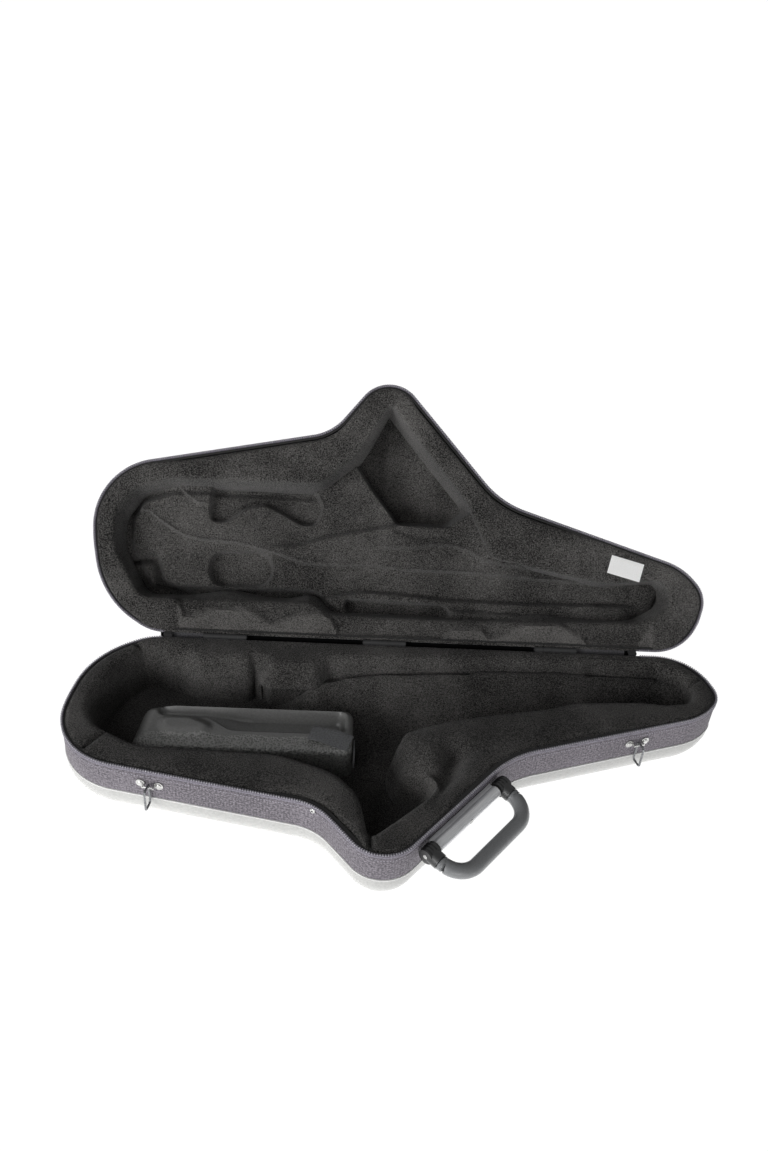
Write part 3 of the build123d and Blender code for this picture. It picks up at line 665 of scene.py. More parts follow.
class Piece:
    """A finished mesh object, made of patches that are joined where they meet."""

    def __init__(self, name: str, patches: Sequence[Patch], body: Body | None) -> None:
        """Builds the mesh.

        Args:
            name: the object's name.
            patches: surfaces that make up the piece.
            body: the half whose millimetres the points are in, or none for the row frame's.
        """
        points = np.vstack([patch.points for patch in patches])
        cloth = np.vstack([patch.points[:, :2] if patch.cloth is None else patch.cloth for patch in patches])
        faces, start = [], 0
        for patch in patches:
            faces += [tuple(i + start for i in face) for face in patch.faces]
            start += len(patch.points)
        mesh = bpy.data.meshes.new(name)
        mesh.from_pydata((points * MM if body is None else to_world(points, body)).tolist(), [], faces)
        layer = mesh.uv_layers.new(name="Cloth")
        loops = np.empty(len(mesh.loops), int)
        mesh.loops.foreach_get("vertex_index", loops)
        layer.data.foreach_set("uv", (cloth[loops] * MM).astype(np.float32).ravel())
        self.object = bpy.data.objects.new(name, mesh)
        self.body = body
        bpy.context.scene.collection.objects.link(self.object)

    def join_up(self, closed: bool = False, sharp: float = 60.0, outwards: bool = True) -> "Piece":
        """Merges doubles, turns faces outwards and smooths.

        Args:
            closed: the piece is a closed form, whose faces are turned outwards by their winding.
            sharp: angle in degrees above which an edge stays sharp.
            outwards: for an open piece, keeps the winding it was made with if the base holds it.

        Returns:
            The piece itself.
        """
        mesh = self.object.data
        work = bmesh.new()
        work.from_mesh(mesh)
        bmesh.ops.remove_doubles(work, verts=work.verts, dist=2e-5)
        bmesh.ops.dissolve_degenerate(work, edges=work.edges, dist=1e-6)
        if closed:
            bmesh.ops.recalc_face_normals(work, faces=work.faces)
            if work.calc_volume(signed=True) < 0:
                bmesh.ops.reverse_faces(work, faces=work.faces)
        elif (self.body is Body.LID) == outwards:
            bmesh.ops.reverse_faces(work, faces=work.faces)
        work.to_mesh(mesh)
        work.free()
        mesh.polygons.foreach_set("use_smooth", [True] * len(mesh.polygons))
        mesh.set_sharp_from_angle(angle=math.radians(sharp))
        mesh.update()
        return self

    def mark(self, name: str, values: Array) -> None:
        """Stores a number for each point, which a finish may read."""
        layer = self.object.data.attributes.new(name, "FLOAT", "POINT")
        layer.data.foreach_set("value", values.astype(np.float32))

    def dress(self, finish: Finish, slot: str) -> "Piece":
        """Gives the piece its finish.

        Args:
            finish: the material.
            slot: name of the record's slot; not used.

        Returns:
            The piece itself.
        """
        self.object.data.materials.append(material_of(finish))
        return self

    def settle(self, body: Body, *nodes: str) -> "Piece":
        """Makes the piece ride on a body in place of CAD nodes.

        Args:
            body: what the piece rides on.
            nodes: CAD nodes that the piece stands for.

        Returns:
            The piece itself.
        """
        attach(self.object, body.value)
        if nodes:
            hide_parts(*nodes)
        log.info("%s: %d faces on %s", self.object.name, len(self.object.data.polygons), body.value)
        return self


@dataclass
class Covers:
    """Outer covers of one half: coated cloth below, bead, and textile up to the rim."""

    body: Body
    depth: float
    crease: float
    lower_node: str
    radius: float = 38.0
    bead: float = 1.0

    def build(self) -> None:
        """Makes the three covers of the half."""
        self.lower()
        self.side()
        self.piping()

    def wall(self, inset: Array, height: Array) -> Patch:
        """Surface carried round the outline: each row is the outline at one inset and height.

        The cloth map runs along the outline and up the profile, both in millimetres.

        Args:
            inset: inset of each row.
            height: height of each row.

        Returns:
            The surface as a patch.
        """
        rows = CASE.rows(zip(inset, height))
        climb = np.concatenate([[0.0], np.cumsum(np.hypot(np.diff(inset), np.diff(height)))])
        cloth = crossed(run_lengths(looped(CASE.points)), climb)
        return grid(np.concatenate([rows, rows[:, :1]], axis=1), cloth=cloth)

    def lower(self) -> None:
        """Coated cover: a quarter circle from wall to bottom, then flat to a filled middle."""
        angle = np.linspace(0, math.pi / 2, 13)
        start = -self.crease - self.bead
        inset = np.concatenate([[1.4, 0.0, 0.0], self.radius * (1 - np.cos(angle)) * 0.985])
        bend = -self.depth + self.radius * (1 - np.sin(angle))
        height = np.concatenate([[start + 0.2, start - 0.2, start - 1.5], bend])
        bottom = flat_filled(CASE.inset(inset[-1]), -self.depth, 22.0)
        patches = [self.wall(inset, height).flipped(), bottom.flipped()]
        piece = Piece(self.lower_node + "_cloth", patches, self.body)
        piece.join_up().dress(COATED, "smooth_cover").settle(self.body, self.lower_node)

    def side(self) -> None:
        """Textile cover of the wall, turned in at the bead and under the zip."""
        node = self.body.value + "_side_cover"
        low = -self.crease + self.bead
        inset = np.array([1.5, 0.35, 0.0, -0.15, -0.15, -0.1, 0.0, 0.3, 1.5])
        height = np.array([low - 0.1, low + 0.2, low + 1.2, low * 0.8, low * 0.5, -8.0, -1.2, -0.3, -0.05])
        piece = Piece(node + "_cloth", [self.wall(inset, height)], self.body)
        piece.join_up().dress(TEXTILE, "woven_textile").settle(self.body, node)

    def piping(self) -> None:
        """Round bead: half a circle in section."""
        node = self.body.value + "_piping"
        angle = np.linspace(-math.pi / 2, math.pi / 2, 9)
        inset = np.concatenate([[1.4], -self.bead * np.cos(angle), [1.4]])
        height = -self.crease + np.concatenate([[-self.bead], self.bead * np.sin(angle), [self.bead]])
        piece = Piece(node + "_cord", [self.wall(inset, height)], self.body)
        piece.join_up().dress(BEAD, "edge_piping").settle(self.body, node)


def repeated(shape: Patch, centres: Array, frames: Array) -> Patch:
    """Copies of a small shape: each point is centre plus frame times point.

    Args:
        shape: the small shape.
        centres: N by 3 places.
        frames: N by 3 by 3 turns.

    Returns:
        All copies as one patch.
    """
    points = np.einsum("nij,kj->nki", frames, shape.points) + centres[:, None, :]
    faces = np.array(shape.faces)
    starts = np.arange(len(centres)) * len(shape.points)
    every = (faces[None] + starts[:, None, None]).reshape(-1, faces.shape[1])
    return Patch(points.reshape(-1, 3), [tuple(face) for face in every.tolist()])


def pebble(size: Sequence[float], power: float = 0.7, around: int = 6, up: int = 4) -> Patch:
    """Small rounded block: a sphere whose sines and cosines are raised to a power below one.

    Args:
        size: length, width and height.
        power: one for a sphere, less for a squarer block.
        around: points round it.
        up: rows from bottom to top.

    Returns:
        The block as a patch.
    """

    def soft(value: Array) -> Array:
        """The value raised to the power, with its own sign."""
        return np.sign(value) * np.abs(value) ** power

    turn = np.linspace(0, 2 * math.pi, around, endpoint=False)
    lift = np.linspace(-math.pi / 2, math.pi / 2, up)
    x = soft(np.cos(lift))[:, None] * soft(np.cos(turn))[None]
    y = soft(np.cos(lift))[:, None] * soft(np.sin(turn))[None]
    z = np.repeat(soft(np.sin(lift))[:, None], around, axis=1)
    return grid(np.stack([x * size[0] / 2, y * size[1] / 2, z * size[2] / 2], axis=-1), closed=True)


@dataclass
class Zip:
    """One half of the zip: tape outside the wall, teeth on its upper edge, and a row of stitches."""

    body: Body
    start: float = 98.5
    end: float = 731.5
    profile: tuple[tuple[float, float], ...] = (
        (0.6, -3.7), (-0.9, -3.6), (-1.3, -3.1), (-1.35, -1.0),
        (-1.3, 0.9), (-0.6, 1.4), (0.6, 1.45), (1.7, 1.3),
    )
    # Inset and height of a thin black strip under the tape: a painted shade line.
    painted_shade_strip: tuple[tuple[float, float], ...] = ((-0.45, -4.4), (-0.45, -3.4))
    tooth: tuple[float, float, float] = (1.9, 2.8, 2.0)
    teeth_place: tuple[float, float] = (-0.3, 1.95)
    teeth_pitch: float = 3.0
    stitch: tuple[float, float, float] = (2.1, 0.8, 1.0)
    stitches_place: tuple[float, float] = (-0.35, -8.4)
    stitches_pitch: float = 3.4

    def build(self) -> None:
        """Makes tape, a black strip of painted shade under it, teeth and stitches."""
        tape, coil = self.body.value + "_zip_tape", self.body.value + "_zip_coil"
        curve = CASE.between((self.start - MIDDLE, 0.0), (self.end - MIDDLE, 0.0))
        cloth = crossed(run_lengths(curve.points), np.arange(len(self.profile)) * 2.0)
        piece = Piece(tape + "_cloth", [grid(curve.rows(self.profile), cloth=cloth)], self.body)
        piece.join_up().dress(TAPE, "zip_tape").settle(self.body, tape)
        # A thin black strip under the tape's lower edge: painted shade.
        piece = Piece(tape + "_groove", [grid(curve.rows(self.painted_shade_strip))], self.body)
        piece.join_up().dress(BLACK_CLOTH_PAINTED_SHADE, "zip_tape").settle(self.body)
        teeth = self.row(curve, self.tooth, self.teeth_place, self.teeth_pitch)
        piece = Piece(coil + "_teeth", [teeth], self.body)
        piece.join_up(True, 70).dress(TEETH, "zip_coil").settle(self.body, coil)
        stitches = self.row(curve, self.stitch, self.stitches_place, self.stitches_pitch)
        piece = Piece(tape + "_stitches", [stitches], self.body)
        piece.join_up(True, 70).dress(STITCH, "zip_coil").settle(self.body)

    def row(self, curve: Curve, size: Sequence[float], place: Sequence[float], pitch: float) -> Patch:
        """A row of small rounded blocks along the zip.

        Args:
            curve: the outline's run that carries the zip.
            size: block along the run, across it and up.
            place: inset and height of the row.
            pitch: distance between blocks.

        Returns:
            The row as a patch.
        """
        line = curve.inset(place[0])
        length = run_lengths(line)
        spots = np.arange(pitch, length[-1] - pitch, pitch)
        centres = np.stack([np.interp(spots, length, line[:, i]) for i in (0, 1)], axis=1)
        across = np.stack([np.interp(spots, length, curve.normals[:, i]) for i in (0, 1)], axis=1)
        across /= np.linalg.norm(across, axis=1)[:, None]
        frames = np.zeros((len(spots), 3, 3))
        frames[:, 0, 0], frames[:, 1, 0] = across[:, 1], -across[:, 0]
        frames[:, :2, 1] = across
        frames[:, 2, 2] = 1.0
        return repeated(pebble(size), at_height(centres, place[1]), frames)


BASE_HOLLOW: Rows = (
    (74, 20, 14), (50, 48, 40), (24, 112, 60), (35, 158, 50), (95, 191, 60), (180, 195, 200), (262, 198, 90),
    (330, 221, 60), (357, 256, 60), (368, 318, 6), (400, 290, 40), (437, 256, 30), (456, 226, 20),
    (408, 208, 26), (400, 174, 20), (412, 146, 14), (512, 122, 100), (600, 104, 60), (632, 92, 60),
    (715, 86, 150), (750, 90, 60), (785, 84, 18), (796, 60, 20), (788, 36, 16), (770, 26, 12), (757, 10, 12),
    (672, 9, 12), (655, 17, 14), (557, 18, 200), (410, 25, 200), (345, 27, 20), (316, 28, 14), (297, 44, 12),
    (242, 46, 8), (234, 31, 6), (219, 27, 7), (211, 35, 7), (152, 35, 20), (128, 20, 20), (100, 16, 30),
)


@dataclass
class PadRing:
    """Plush ring of the base, in four sewn cushions, each a closed crowned form."""

    top: float = 1.6
    floor: float = -70.7
    outer_inset: float = 3.2
    flank: float = -44.0
    turn_in: tuple[float, float] = (-58.0, 4.5)
    foot_inset: float = 11.0
    bands: tuple[float, ...] = (0.8, 2.0, 3.8, 6.2, 9.2, 13.0)
    valley: tuple[tuple[float, float], ...] = ((434, 246), (462, 214), (474, 186))
    seams: dict[str, tuple[tuple[float, float], tuple[float, float]]] = field(
        default_factory=lambda: {
            "end": ((73, 19), (60, 7)),
            "front": ((52, 177), (30, 208)),
            "neck": ((368, 316), (366, 343)),
            "back": ((797, 46), (822, 31)),
        }
    )

    def build(self) -> None:
        """Makes the four cushions, each from one seam to the next."""
        inner = Curve.rounded(BASE_HOLLOW, 3.0)
        v = to_uv(CASE.points)[1]
        slack = -(self.outer_inset - 0.9) * step(6 - v, 8.0) + 3.2 * self.loose(CASE.points)
        outer = Curve(CASE.inset(self.outer_inset + slack), CASE.normals)
        names = list(self.seams)
        for name, following in zip(names, names[1:] + names[:1]):
            (in_a, out_a), (in_b, out_b) = plan(self.seams[name]), plan(self.seams[following])
            self.cushion(name, outer.between(out_a, out_b), inner.between(in_a, in_b))

    def loose(self, places: Array) -> Array:
        """Share of looseness: where the cushions stand off the rim, at the bell's left and along the neck.

        Args:
            places: plan places.

        Returns:
            Share at each place.
        """
        u, v = to_uv(places)
        left = step(u - 262, 24) * step(356 - u, 16) * step(v - 225, 20)
        neck = step(u - 478, 40) * step(690 - u, 90) * step(v - 100, 20)
        return left + neck * 0.8

    def soft_nose(self, places: Array) -> Array:
        """Share of softness: one on the nose of the neck cushion beside the bell hollow, zero elsewhere."""
        u, v = to_uv(places)
        return bell(u - 400, 60) * bell(v - 186, 36)

    def height(self, places: Array, outer: Array, inner: Array) -> Array:
        """Height of a cushion's top.

        A quarter ellipse falls to the outer edge, another to the inner edge, longest on the nose,
        and two short ones to the seams. A valley runs behind the nose.

        Args:
            places: plan places.
            outer: the cushion's outer edge.
            inner: its inner edge.

        Returns:
            Height of each place.
        """
        at_rim = step(-places[:, 1] - 14, 16.0)
        loose = self.loose(places)
        inwards = line_distance(places, inner)
        roll = 9.0 + 55.0 * self.soft_nose(places)
        fall = (1.2 + 2.8 * at_rim + 4 * loose) * shoulder(
            line_distance(places, outer), 3.0 + 3.5 * at_rim + 6 * loose
        )
        fall += roll * 0.85 * shoulder(inwards, roll)
        fall += 20.0 * bell(line_distance(places, plan(self.valley)), 15.0) * step(inwards - 6, 12.0)
        for end in (-1, 0):
            fall += 2.0 * shoulder(line_distance(places, np.vstack([outer[end], inner[end]])), 2.6)
        return self.top - fall + bell(inwards - 18, 12.0) * 0.6 + ripple(places, 0.35)

    def cushion(self, name: str, outer: Curve, inner: Curve) -> None:
        """One cushion: crowned top, drawn-in walls down to the floor, and closed ends.

        Args:
            name: its seam's name.
            outer: run of the rim.
            inner: run of the hollow's edge.
        """

        def height(places: Array) -> Array:
            """Height of this cushion's top."""
            return self.height(places, outer.points, inner.points)

        rim = at_height(inner.points, height(inner.points))
        share = np.linspace(0, 1, 15)
        lean = 2.2 * np.sin(math.pi * share)[:, None] + self.lean(inner.points, share)
        drop = share[:, None] * (rim[None, :, 2] - self.floor)
        patches = [
            filled([np.vstack([outer.points, inner.points[::-1]])], height, 5.0, self.bands),
            skirt(rim, lean, drop, inner.normals, closed=False),
        ]
        levels = ((None, 0.0), (self.flank, 0.0), self.turn_in, (self.floor, self.foot_inset))
        for pick in (slice(None), slice(0, 1), slice(-1, None)):
            rows = []
            for level, inset in levels:
                side = outer.points[pick] + outer.normals[pick] * inset
                if pick != slice(None):
                    side = np.vstack([side, inner.points[pick]])
                rows.append(at_height(side, height(side) if level is None else level))
            patches.append(grid(np.stack(rows)))
        piece = Piece(f"base_pad_{name}_plush", patches, Body.BASE).join_up(outwards=False)
        piece.dress(PLUSH, "plush").settle(Body.BASE, "base_pad_" + name)

    def lean(self, places: Array, share: Array) -> Array:
        """How far the wall leans into the hollow: lumps behind the tray, a slope at the bell's right.

        Args:
            places: points of the hollow's edge.
            share: share of the way down.

        Returns:
            Distance for each share and place.
        """
        u, v = to_uv(places)
        behind = step(70 - v, 30.0)
        down = share[:, None]
        deep = np.sin(np.clip(down * 3.0, 0, 1) * math.pi / 2)
        broad = 4 * step(u - 112, 30.0) + 3 * bell(u - 186, 20)
        shelf = 5 * step(u - 234, 9.0) * step(304 - u, 22.0)
        pocket = -4 * bell(u - 325, 16) - 4 * bell(u - 222, 10)
        fold = 1 - 2.4 * step(down - 0.40, 0.08)
        nose = 4 * self.soft_nose(places) - np.clip(v - 6, 0, 11) * behind * step(u - 338, 20.0)
        steady = ((broad + pocket) * behind)[None]
        return deep * (steady + fold * (shelf * behind)[None]) + down**0.6 * (nose + 4)[None]


@dataclass
class BaseFloor:
    """Plush floor of the base and the bed of the instrument's body.

    The stations give the bed's v at the back, its crease's height, its valley's depth and its v at
    the front, each as a list of u and a list of values.
    """

    floor: float = -70.8
    side: Iterable[Sequence[float]] = (
        (246, 0), (246, 96), (352, 96), (358, 178), (420, 190), (480, 200), (640, 130), (820, 110), (820, 0)
    )
    bounds: Iterable[Sequence[float]] = (
        (248, 60), (249, 95), (300, 95), (351, 96), (356, 130), (362, 172), (395, 176), (430, 180)
    )
    back: Sequence[Sequence[float]] = (
        (246, 300, 343, 400, 560, 655, 672, 757, 772, 800), (50, 44, 28, 25, 19, 17, 12, 12, 24, 40)
    )
    crease: Sequence[Sequence[float]] = (
        (240, 290, 343, 400, 560, 650, 795), (-40, -30, -22, -18, -14, -15, -17)
    )
    depth: Sequence[Sequence[float]] = ((240, 300, 343, 450, 600, 700, 795), (26, 38, 46, 50, 46, 40, 30))
    front: Sequence[Sequence[float]] = ((240, 400, 512, 600, 700, 800), (110, 132, 118, 102, 88, 82))

    def build(self) -> None:
        """Makes the floor panel and the bed."""
        panel = flat_filled(Curve.rounded(BASE_HOLLOW, 6.0).inset(-3.0), self.floor, 12.0)
        piece = Piece("base_floor_plush", [panel], Body.BASE).join_up(outwards=False)
        piece.dress(PLUSH, "plush").settle(Body.BASE, "base_floor_pad")
        loop = self.bed_loop()
        edge = at_height(loop, self.height(loop))
        wall = grid(np.stack([edge, at_height(loop, self.floor)]), closed=True)
        patches = [filled([loop], self.height, 4.0, (1.5, 4.0)), wall]
        piece = Piece("body_bed_plush", patches, Body.BASE).join_up(outwards=False)
        piece.dress(PLUSH, "plush").settle(Body.BASE, "body_bed")

    def bed_loop(self) -> Array:
        """The bed's plan: the hollow's edge where the bed meets it, and its own free edge.

        Returns:
            The loop's points.
        """
        hollow = Curve.rounded(BASE_HOLLOW, 3.0).inset(-2.5)
        inside = is_inside(hollow, plan(self.side))
        first = int(np.argmax(inside & ~np.roll(inside, 1)))
        kept = np.roll(hollow, -first, axis=0)[: int(np.argmin(np.roll(inside, -first)))]
        free = plan(self.bounds)
        starts_left = kept[-1, 0] + MIDDLE < 300
        return np.vstack([kept, free[:-1] if starts_left else free[::-1]])

    def height(self, places: Array) -> Array:
        """Height of the bed's lopsided valley.

        From the crease at the back the surface sinks along a quarter sine to the valley's depth, most
        of the way to the front. Two slots run behind the crease, and the left end fades to the floor.

        Args:
            places: plan places.

        Returns:
            Height of each place.
        """
        u, v = to_uv(places)
        back, crease, depth, front = (
            np.interp(u, *table) for table in (self.back, self.crease, self.depth, self.front)
        )
        across = np.clip((v - back) / (front - back) / 0.86, 0, 1)
        valley = crease - depth * np.sin(across * math.pi / 2) ** 1.7
        valley += 1.6 * bell(v - back - 18, 12) * (1 + np.sin(u / 31)) - 5.0 * bell(v - back, 3.5)
        valley -= 18 * step(back + 7 - v, 6) * step(u - 664, 14) * step(762 - u, 14)
        valley -= 12 * step(back + 6 - v, 7) * step(u - 322, 24) * step(506 - u, 30)
        fade = step(u - 278, 60) * step(168 - v + 0.10 * (u - 350), 60)
        return self.floor + (valley - self.floor) * fade + ripple(places, 1.0) * fade


@dataclass
class Tray:
    """Formed tray with a trough, a hump on its near rim, a strap and its sewn tail."""

    top: float = -20.0
    floor: float = -70.5
    outline: Rows = ((91, 98.5, 14), (80, 169.5, 12), (351, 169.5, 12), (351, 98.5, 12))
    trough: Rows = (
        (112, 106, 7), (112, 116, 6), (172, 117, 20), (201, 138, 20), (338, 138, 8), (338, 106, 8)
    )
    hump: Rows = ((116, 124, 10), (116, 150, 12), (168, 150, 12), (178, 138, 10), (150, 124, 10))
    flap_fold: tuple[float, float] = (-62.772, -160.74)
    flap_turn: float = 20.0
    flap_long: float = 52.0
    flap_half: float = 12.5
    flap_thick: float = 1.6
    tail_top: tuple[float, float, float] = (351.6, 160.7, -25.4)
    tail_long: float = 23.5
    tail_half: float = 12.0
    tail_thick: float = 1.4

    def build(self) -> None:
        """Makes the tray and its strap."""
        curve = Curve.rounded(self.outline, 2.5)
        trough = Curve.rounded(self.trough, 2.5).points
        hump = Curve.rounded(self.hump, 3).points

        def height(places: Array) -> Array:
            """Rounded rim, then the trough stepped in and the hump stepped out.

            Args:
                places: plan places.

            Returns:
                Height of each place.
            """
            u, v = to_uv(places)
            width = 10 + 12 * step(112 - u, 40)
            fall = width * 0.8 * shoulder(line_distance(places, looped(curve.points)), width)
            well = step(depth_in(places, trough) + 1.0, 7.0) * (12 + 8 * step(u - 200, 60))
            rise = 5.5 * step(depth_in(places, hump), 14.0)
            return self.top - 1.5 - fall - well + rise - 1.5 * step(v - 152, 18)

        top = filled([curve.points], height, 2.2, (0.6, 1.6, 3.0))
        edge = at_height(curve.points, height(curve.points))
        drop = np.linspace(0, 1, 9)[:, None] * (edge[None, :, 2] - self.floor)
        wall = skirt(edge, np.zeros_like(drop), drop, curve.normals)
        piece = Piece("neck_tray_formed", [top, wall], Body.BASE).join_up(outwards=False)
        piece.dress(TRAY, "tray_plastic").settle(Body.BASE, "neck_tray")
        self.crinkle(piece.object.data)
        self.strap()

    def crinkle(self, mesh: bpy.types.Mesh) -> None:
        """Gives the near rim and the front wall their crinkled grain.

        Args:
            mesh: the tray's mesh.
        """
        mesh.materials.append(material_of(CRINKLE))
        centres = np.empty(len(mesh.polygons) * 3)
        mesh.polygons.foreach_get("center", centres)
        centres = centres.reshape(-1, 3) / MM
        front = BACK - centres[:, 1] > 150 + 1.5 * np.sin(centres[:, 0] / 9)
        mesh.polygons.foreach_set("material_index", front.astype(np.int32))

    def strap(self) -> None:
        """Flat web: the flap lies over the near rim, the tail drops down the right wall."""
        turn = math.radians(self.flap_turn)
        across = np.array([math.sin(turn), math.cos(turn)])
        away = np.array([-across[1], across[0]])
        run, half = self.flap_long, self.flap_half
        long, wide = np.meshgrid(np.linspace(0.5, run, 27), np.linspace(-half, half, 13), indexing="ij")
        places = np.array(self.flap_fold) + long[..., None] * away + wide[..., None] * across
        sag = -19.3 + 1.6 * np.sin(long / run * math.pi) - 1.1 * (np.abs(wide) / half) ** 4
        sag = sag + 0.8 * np.sin(long / 9.0) * (wide / half)
        lower = np.concatenate([places, sag[..., None]], axis=-1)
        upper = np.concatenate([places, (sag + self.flap_thick)[..., None]], axis=-1)
        cloth = np.stack([long, wide], axis=-1)
        piece = Piece("strap_flap_web", slab(upper, lower, cloth, cloth), Body.BASE)
        piece.join_up(True, 50).dress(WEB, "strap_web").settle(Body.STRAP, "strap_flap")
        run, half = self.tail_long, self.tail_half
        drop, wide = np.meshgrid(np.linspace(0, run, 13), np.linspace(-half, half, 13), indexing="ij")
        u, v, z = self.tail_top
        x = u - MIDDLE + 0.4 * np.sin(drop / run * math.pi)
        near = np.stack([x, wide - v, z - drop], axis=-1)
        piece = Piece("strap_tail_web", slab(near + np.array([self.tail_thick, 0, 0]), near), Body.BASE)
        piece.join_up(True, 50).dress(WEB, "strap_web").settle(Body.BASE, "strap_tail")


LID_HOLLOW: Rows = (
    (64, 44, 26), (27, 112, 60), (28, 157, 36), (50, 188, 40), (97, 203, 40), (296, 205, 40),
    (343, 246, 40), (386, 317, 6), (432, 262, 60), (494, 190, 40), (530, 116, 30), (683, 88, 60),
    (768, 96, 18), (780, 62, 18), (740, 38, 60), (470, 30, 200), (316, 31, 30), (289, 46, 20),
)
# How far the lit lobes of the border reach in from the hinge, as u and v.
LID_LOBES = (
    (100, 60), (112, 44), (124, 22), (138, 22), (157, 32), (203, 35), (219, 30), (230, 20), (242, 14),
    (252, 19), (276, 31), (305, 33), (319, 24), (328, 6), (468, 4), (480, 19), (518, 21), (532, 8),
    (552, 12), (576, 29), (626, 31), (655, 17), (664, 6), (735, 6), (765, 60), (780, 60),
)
# Crest lines along the case with the rise beyond them, the step's width and the fade at both ends.
LID_TERRACES = (
    (((50, 162), (67, 161), (77, 151), (94, 140), (115, 129), (135, 125), (169, 123), (190, 122),
      (220, 115), (245, 109), (270, 101), (286, 98), (324, 98), (375, 100), (416, 96), (523, 95),
      (611, 90), (691, 88), (730, 88)), 9.0, 4.0, 16.0),
    (((240, 121), (274, 125), (305, 136), (339, 144), (373, 151), (407, 158), (425, 160)), -8.0, 6.0, 50.0),
    (((384, 124), (429, 126), (456, 131), (480, 131), (505, 124), (522, 113), (548, 108), (576, 105),
      (610, 109), (638, 108), (667, 104), (712, 96), (760, 97)), 8.0, 4.0, 16.0),
    (((97, 204), (112, 188), (130, 174), (143, 173), (151, 172)), 5.0, 4.0, 5.0),
)
# Lines along the case with the rise on the hinge's side of them, the step's width and the fade.
LID_SHELVES = (
    (((302, 50), (329, 58), (359, 63), (411, 62), (473, 57), (577, 56), (699, 59), (730, 59)),
     11.0, 4.0, 34.0),
    (((474, 44), (525, 42), (613, 39), (683, 37), (770, 40)), 8.0, 4.0, 36.0),
)
# Outlines that are stepped in: the kidney, the oval, the pocket at the hinge's side and the bell's pocket.
LID_SHAPES = (
    (((148, 168, 10), (150, 199, 10), (268, 203, 10), (290, 197, 12), (300, 176, 12), (291, 152, 10),
      (272, 153, 10), (245, 167, 14), (221, 177, 16), (194, 170, 14), (170, 152, 10), (150, 151, 8)),
     -15.0, 5.0),
    (((151, 63, 20), (150, 109, 20), (233, 113, 22), (235, 65, 22)), -15.0, 5.0),
    (((332, 52, 6), (344, 29, 6), (470, 26, 6), (480, 38, 6), (472, 50, 6)), -15.0, 5.0),
    (((388, 323, 6), (508, 186, 12), (470, 160, 14), (405, 160, 14), (366, 211, 20), (338, 251, 20)),
     -52.0, 10.0),
)
# Paths of grooves and ridges with their rise and half width.
LID_LINES = (
    (((44, 93), (76, 96), (80, 82), (84, 68), (96, 60), (112, 53), (128, 47)), -14.0, 4.5),
    (((402, 300), (450, 250), (507, 190)), 4.0, 5.0),
    (((512, 182), (524, 156), (536, 130), (566, 112)), 19.0, 21.0),
    (((60, 164), (77, 153), (94, 142), (115, 131), (135, 127), (190, 124), (245, 111), (270, 103), (324, 100),
      (416, 98), (523, 97), (611, 92), (700, 90)), 1.6, 2.0),
    (((388, 127), (456, 133), (480, 133), (505, 126), (522, 115), (548, 110), (610, 111), (667, 106),
      (730, 97)), 1.6, 2.0),
    (((99, 205), (112, 190), (130, 176), (143, 175)), 1.6, 2.0),
    (((233, 112), (238, 90), (234, 66)), 1.4, 2.0),
    (((292, 199), (303, 178), (297, 158)), 1.4, 2.0),
    (((744, 40), (768, 52), (782, 88), (768, 106), (751, 111)), -12.0, 6.0),
    (((690, 60), (716, 62), (734, 76), (730, 92)), -5.0, 6.0),
    (((404, 150), (430, 142), (468, 144)), -4.0, 5.0),
)


